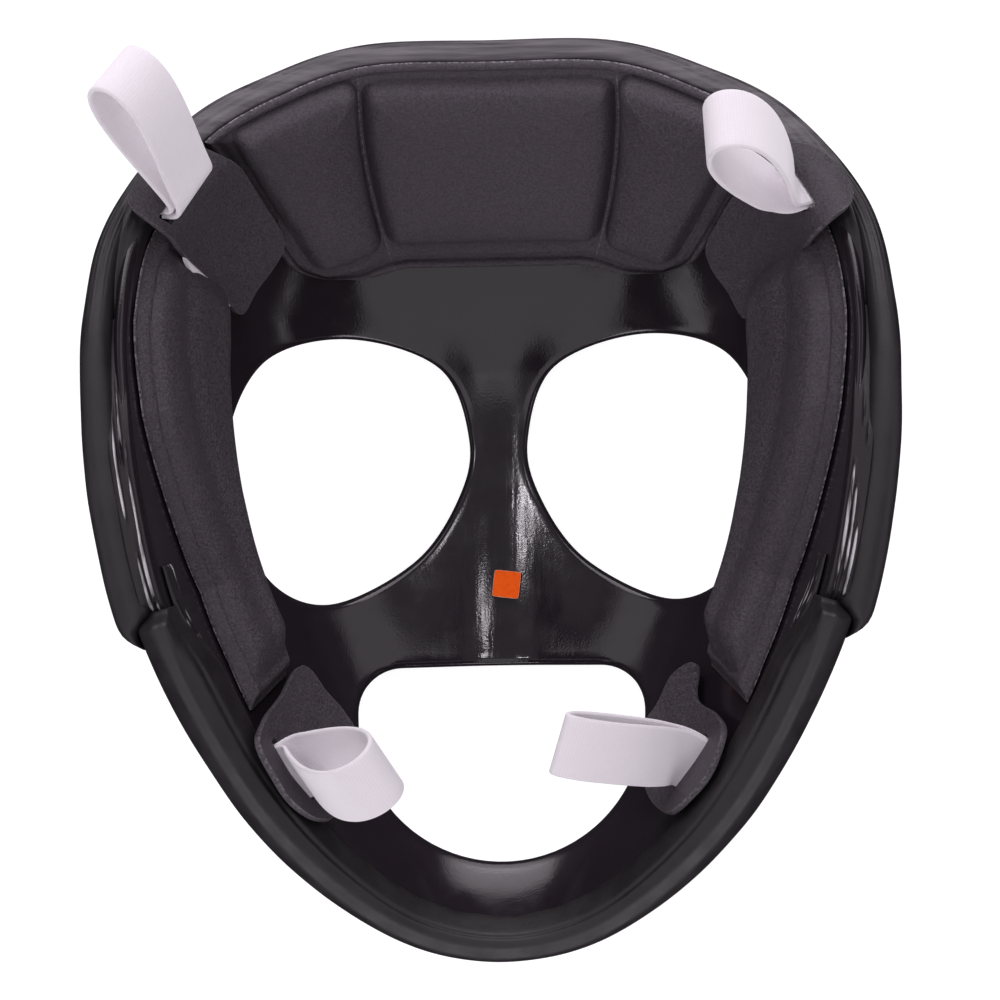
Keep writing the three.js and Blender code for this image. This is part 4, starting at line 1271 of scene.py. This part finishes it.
print("tabs:", len(TABS), "loops:", len(LOOPS))

# %% The tabs
TAB_THICK = 1.6
TAB_CUT_PALE = 0.28
SLOT_LENGTH = 17.0
SLOT_WIDTH = 3.7
TAB_STEP = 0.9


def along_path(path, way):
    """Reach and height at a way along the path, on a smooth curve through its rows."""
    padded = np.vstack([path[:1], path, path[-1:]])
    fine = through(padded, np.linspace(1, len(path), 400))
    return np.interp(way, fine[:, 0], fine[:, 1]), np.interp(way, fine[:, 0], fine[:, 2])


def on_tab(key, station, way, above):
    """A point above the tab's underside, along the sheet's own normal; also that normal and the way round."""
    path, side = TABS[key]["path"], key[1]

    def under(place, far):
        return raised(place if side > 0 else ROWS - place, *along_path(path, far))

    round_rim = unit(under(station + 0.01, way) - under(station - 0.01, way))
    normal = unit(np.cross(round_rim, under(station, way - 0.4) - under(station, way + 0.4))) * side
    return under(station, way) + normal * np.asarray(above)[..., None], normal, round_rim


def tab_sheet(key):
    """The outline filled with triangles in millimetres of station and way, then laid along the path."""
    tab = TABS[key]
    middle = tab["middle"]
    corners = np.array(tab["corners"], float)
    corners[:, 0] = (corners[:, 0] - middle) * STATION_MM
    outline = even(through(corners, np.linspace(0, len(corners), 400, endpoint=False)), TAB_STEP)
    slot_mid = np.array([(tab["slot"][0] - middle) * STATION_MM, tab["slot"][1]])
    square = np.array([(-1, -1), (1, -1), (1, 1), (-1, 1)])
    gathered = next(shape[-1] for shape in LOOPS.values() if shape[0] == key)
    slot = even(slot_mid + square * (SLOT_LENGTH / 2 * gathered, SLOT_WIDTH / 2), TAB_STEP)
    low, high = outline.min(0), outline.max(0)
    x, y = np.meshgrid(np.arange(low[0], high[0], TAB_STEP), np.arange(low[1], high[1], TAB_STEP))
    x = x + 0.5 * TAB_STEP * (np.arange(len(x)) % 2)[:, None]
    spots = np.stack([x.ravel(), y.ravel()], 1)
    inset = grown(outline, -CUT_EDGE)
    spots = spots[inside(spots, grown(outline, -1.1 * TAB_STEP)) & ~inside(spots, grown(slot, 0.6 * TAB_STEP))]
    flat, triangles, rings = filled(outline, [slot], np.vstack([spots, inset]))
    station = middle + flat[:, 0] / STATION_MM
    wave = 0.4 * ripple(flat[:, 0] + 0.4 * flat[:, 1], 70 + key[1], 30, 10)
    top = on_tab(key, station, flat[:, 1], wave + TAB_THICK)[0]
    bottom = on_tab(key, station, flat[:, 1], wave)[0]
    count = len(flat)
    faces = [triangles, triangles[:, ::-1] + count, *(ring_faces(ring, ring + count) for ring in rings)]
    cut = np.zeros(count)
    cut[rings[0]] = 1
    return (np.concatenate([top, bottom]), faces), np.concatenate([TAB_CUT_PALE * cut, 0 * cut])


for level, side in TABS:
    solid, edge = tab_sheet((level, side))
    node = f"{level}_tab_{'left' if side < 0 else 'right'}"
    settle(new_piece(f"{node}_vinyl", solid, VINYL, sharp=45, values={"edge": edge}), "matte_vinyl", node)

# %% [markdown]
# A loop is one strap of white elastic, doubled and pushed through the slot. Its middle line is a teardrop, two
# stems and a half circle. The stems leave the slot square to the tab and turn within a few millimetres to the
# way that the loop points, and the strap turns with them. A flat section with round edges follows that line.
# Beside one tab a little of the strap's own end shows.

# %% The strap's line and section
STRAP_WIDTH = 16.0
STRAP_THICK = 1.3
STRAP_APART = STRAP_THICK / 2 + 0.2
STRAP_FOOT = 0.9


def teardrop(length, radius, bias):
    """The middle line, along and across: a stem, then a drop whose half width is a sine that starts slowly."""
    start = TAB_THICK + 0.4
    stem = np.linspace((-STRAP_FOOT, STRAP_APART), (start - 0.3, STRAP_APART), 10)
    angle = np.linspace(0.02, math.pi, 80)
    share = 0.5 - 0.5 * np.cos(angle)
    form = np.sin(angle) * share**bias
    wide = STRAP_APART * (1 - share**6) ** 0.5 + (radius - STRAP_APART) * form / form.max()
    half = np.vstack([stem, np.stack([start + (length - start) * share, wide], 1)])
    return np.vstack([half, half[-2::-1] * (1, -1)])


def strap_section():
    """A flat section with round edges: across and through the strap."""
    angle = np.linspace(-math.pi / 2, math.pi / 2, 7)
    half, thin = STRAP_WIDTH / 2 - STRAP_THICK / 2, STRAP_THICK / 2
    right = np.stack([half + thin * np.cos(angle), thin * np.sin(angle)], 1)
    top = np.stack([np.linspace(half, -half, 14)[1:-1], np.full(12, thin)], 1)
    return np.vstack([right, top, -right, -top])


print("points along a strap:", len(teardrop(40.0, 6.0, 1.0)), "and round its section:", len(strap_section()))

# %% The loops
TURN_FROM = 1.6
TURN_TO = 8.0
GATHER = (1.0, 14.0)
TAIL_UNDER = 0.3
TAIL_LEVELS = (0.1, 1.2)


def turned(vector, axis, angle):
    """Rodrigues' formula: one vector turned about an axis by many angles."""
    cos, sin = np.cos(angle)[..., None], np.sin(angle)[..., None]
    return vector * cos + np.cross(axis, vector) * sin + axis * (vector @ axis) * (1 - cos)


def loop_axes(bearing, rise, strap):
    """The loop's line from its bearing and rise; the strap's width from its bearing, square to that line."""
    bearing, rise, strap = np.radians((bearing, rise, strap))
    line = np.array([np.cos(rise) * np.cos(bearing), np.cos(rise) * np.sin(bearing), np.sin(rise)])
    level = np.array([np.cos(strap), np.sin(strap), 0])
    return line, unit(level - np.array([0, 0, (line @ level) / line[2]]))


def strap_loop(tab, bearing, rise, strap, length, radius, bias, pinch):
    """The section carried along the drop, turned from the slot's axes to the loop's; also uv and length."""
    foot, out, round_rim = on_tab(tab, *np.array(TABS[tab]["slot"]), 0.0)
    line, width = loop_axes(bearing, rise, strap)
    round_rim = round_rim * np.sign(round_rim @ width)
    start = np.stack([out, round_rim, np.cross(out, round_rim)], 1)
    turn = np.stack([line, width, np.cross(line, width)], 1) @ start.T
    angle = math.acos((np.trace(turn) - 1) / 2)
    spin = unit(np.array([turn[2, 1] - turn[1, 2], turn[0, 2] - turn[2, 0], turn[1, 0] - turn[0, 1]]))
    drop = teardrop(length, radius, bias)
    run = unit(np.gradient(drop, axis=0))
    across, through_strap = strap_section().T
    along = drop[:, :1] - run[:, 1:] * through_strap
    open_by = drop[:, 1:] + run[:, :1] * through_strap
    fine = np.linspace(-STRAP_FOOT - 2, length + 2, 900)
    step = fine[1] - fine[0]
    centre = np.cumsum(turned(out, spin, angle * smooth(TURN_FROM, TURN_TO, fine)) * step, axis=0)
    centre = centre - np.stack([np.interp(0, fine, centre[:, k]) for k in range(3)])
    middle = np.stack([np.interp(along, fine, centre[:, k]) for k in range(3)], -1)
    share = angle * smooth(TURN_FROM, TURN_TO, along)
    gathered = pinch + (1 - pinch) * smooth(*GATHER, along)
    points = foot + middle + (across * gathered)[..., None] * turned(start[:, 1], spin, share)
    points = points + open_by[..., None] * turned(start[:, 2], spin, share)
    far = np.concatenate([[0], np.cumsum(np.linalg.norm(np.diff(drop, axis=0), axis=1))])
    uv = np.stack(np.broadcast_arrays(far[:, None], across), -1).reshape(-1, 2)
    return loft(points), uv, far[-1]


def strap_tail(tab, start, end, shows):
    """The strap's end at the tab, a flat strip whose side stands a little past the tab's edge."""
    way = np.linspace(start, end, 30)[:, None]
    edge = np.array(TABS[tab]["corners"][4:9])
    shown = shows * np.sin(math.pi * (way - start) / (end - start)) ** 0.7
    side = np.interp(way, edge[:, 1], edge[:, 0])
    station = side - TAIL_UNDER + (TAIL_UNDER + shown) * np.linspace(0, 1, 10)
    way = way + 0 * station
    low, high = (on_tab(tab, station, way, height + 0 * way)[0] for height in TAIL_LEVELS)
    uv = np.stack([way, station * STATION_MM], -1).reshape(-1, 2)
    return slab(high, low), np.vstack([uv, uv])


for name, shape in LOOPS.items():
    solid, uv, cut_length = strap_loop(*shape)
    if name in TAILS:
        tail, tail_uv = strap_tail(shape[0], *TAILS[name])
        solid, uv = joined(solid, tail), np.vstack([uv, tail_uv])
    piece = new_piece(f"{name}_strap", solid, ELASTIC, sharp=60, uv=uv)
    settle(piece, "white_elastic", name)
    print("  strap length", round(cut_length, 1), "mm")

# %% [markdown]
# A small plain square of orange film sits low on the nose. It is a thin plate with softened corners,
# turned a few degrees, and its pale backing shows round the edge.

# %% The label
LABEL_SIDE = 7.0
LABEL_THICK = 0.6
LABEL_OFF = 0.5
LABEL_TURN = math.radians(-7)
LABEL_PLACE = (12.75, 0.25)
LABEL_CORNER = 0.05


def label_plate():
    """A square grid whose corners are drawn in a little, on a plane that touches the wall."""
    share = np.array([-1, -0.97, -0.9, -0.6, -0.3, 0, 0.3, 0.6, 0.9, 0.97, 1])
    u, v = np.meshgrid(share, share, indexing="ij")
    x = u * (1 - LABEL_CORNER * v**8) * LABEL_SIDE / 2
    y = v * (1 - LABEL_CORNER * u**8) * LABEL_SIDE / 2
    cos, sin = math.cos(LABEL_TURN), math.sin(LABEL_TURN)
    station, reach = (np.array(value) for value in LABEL_PLACE)
    normal = wall_normal(station, reach)
    right = unit(np.cross((0, 1, 0), normal))
    up = np.cross(normal, right)
    flat = (x * cos - y * sin)[..., None] * right + (x * sin + y * cos)[..., None] * up
    seat = wall(station, reach)
    solid = slab(flat + seat + normal * (LABEL_OFF + LABEL_THICK), flat + seat + normal * LABEL_OFF)
    rim = (np.maximum(np.abs(u), np.abs(v)) > 0.98).ravel().astype(float)
    return solid, np.concatenate([rim, np.ones_like(rim)])


solid, edge = label_plate()
settle(new_piece("label_film", solid, ORANGE, sharp=40, values={"edge": edge}), "orange_label", "label")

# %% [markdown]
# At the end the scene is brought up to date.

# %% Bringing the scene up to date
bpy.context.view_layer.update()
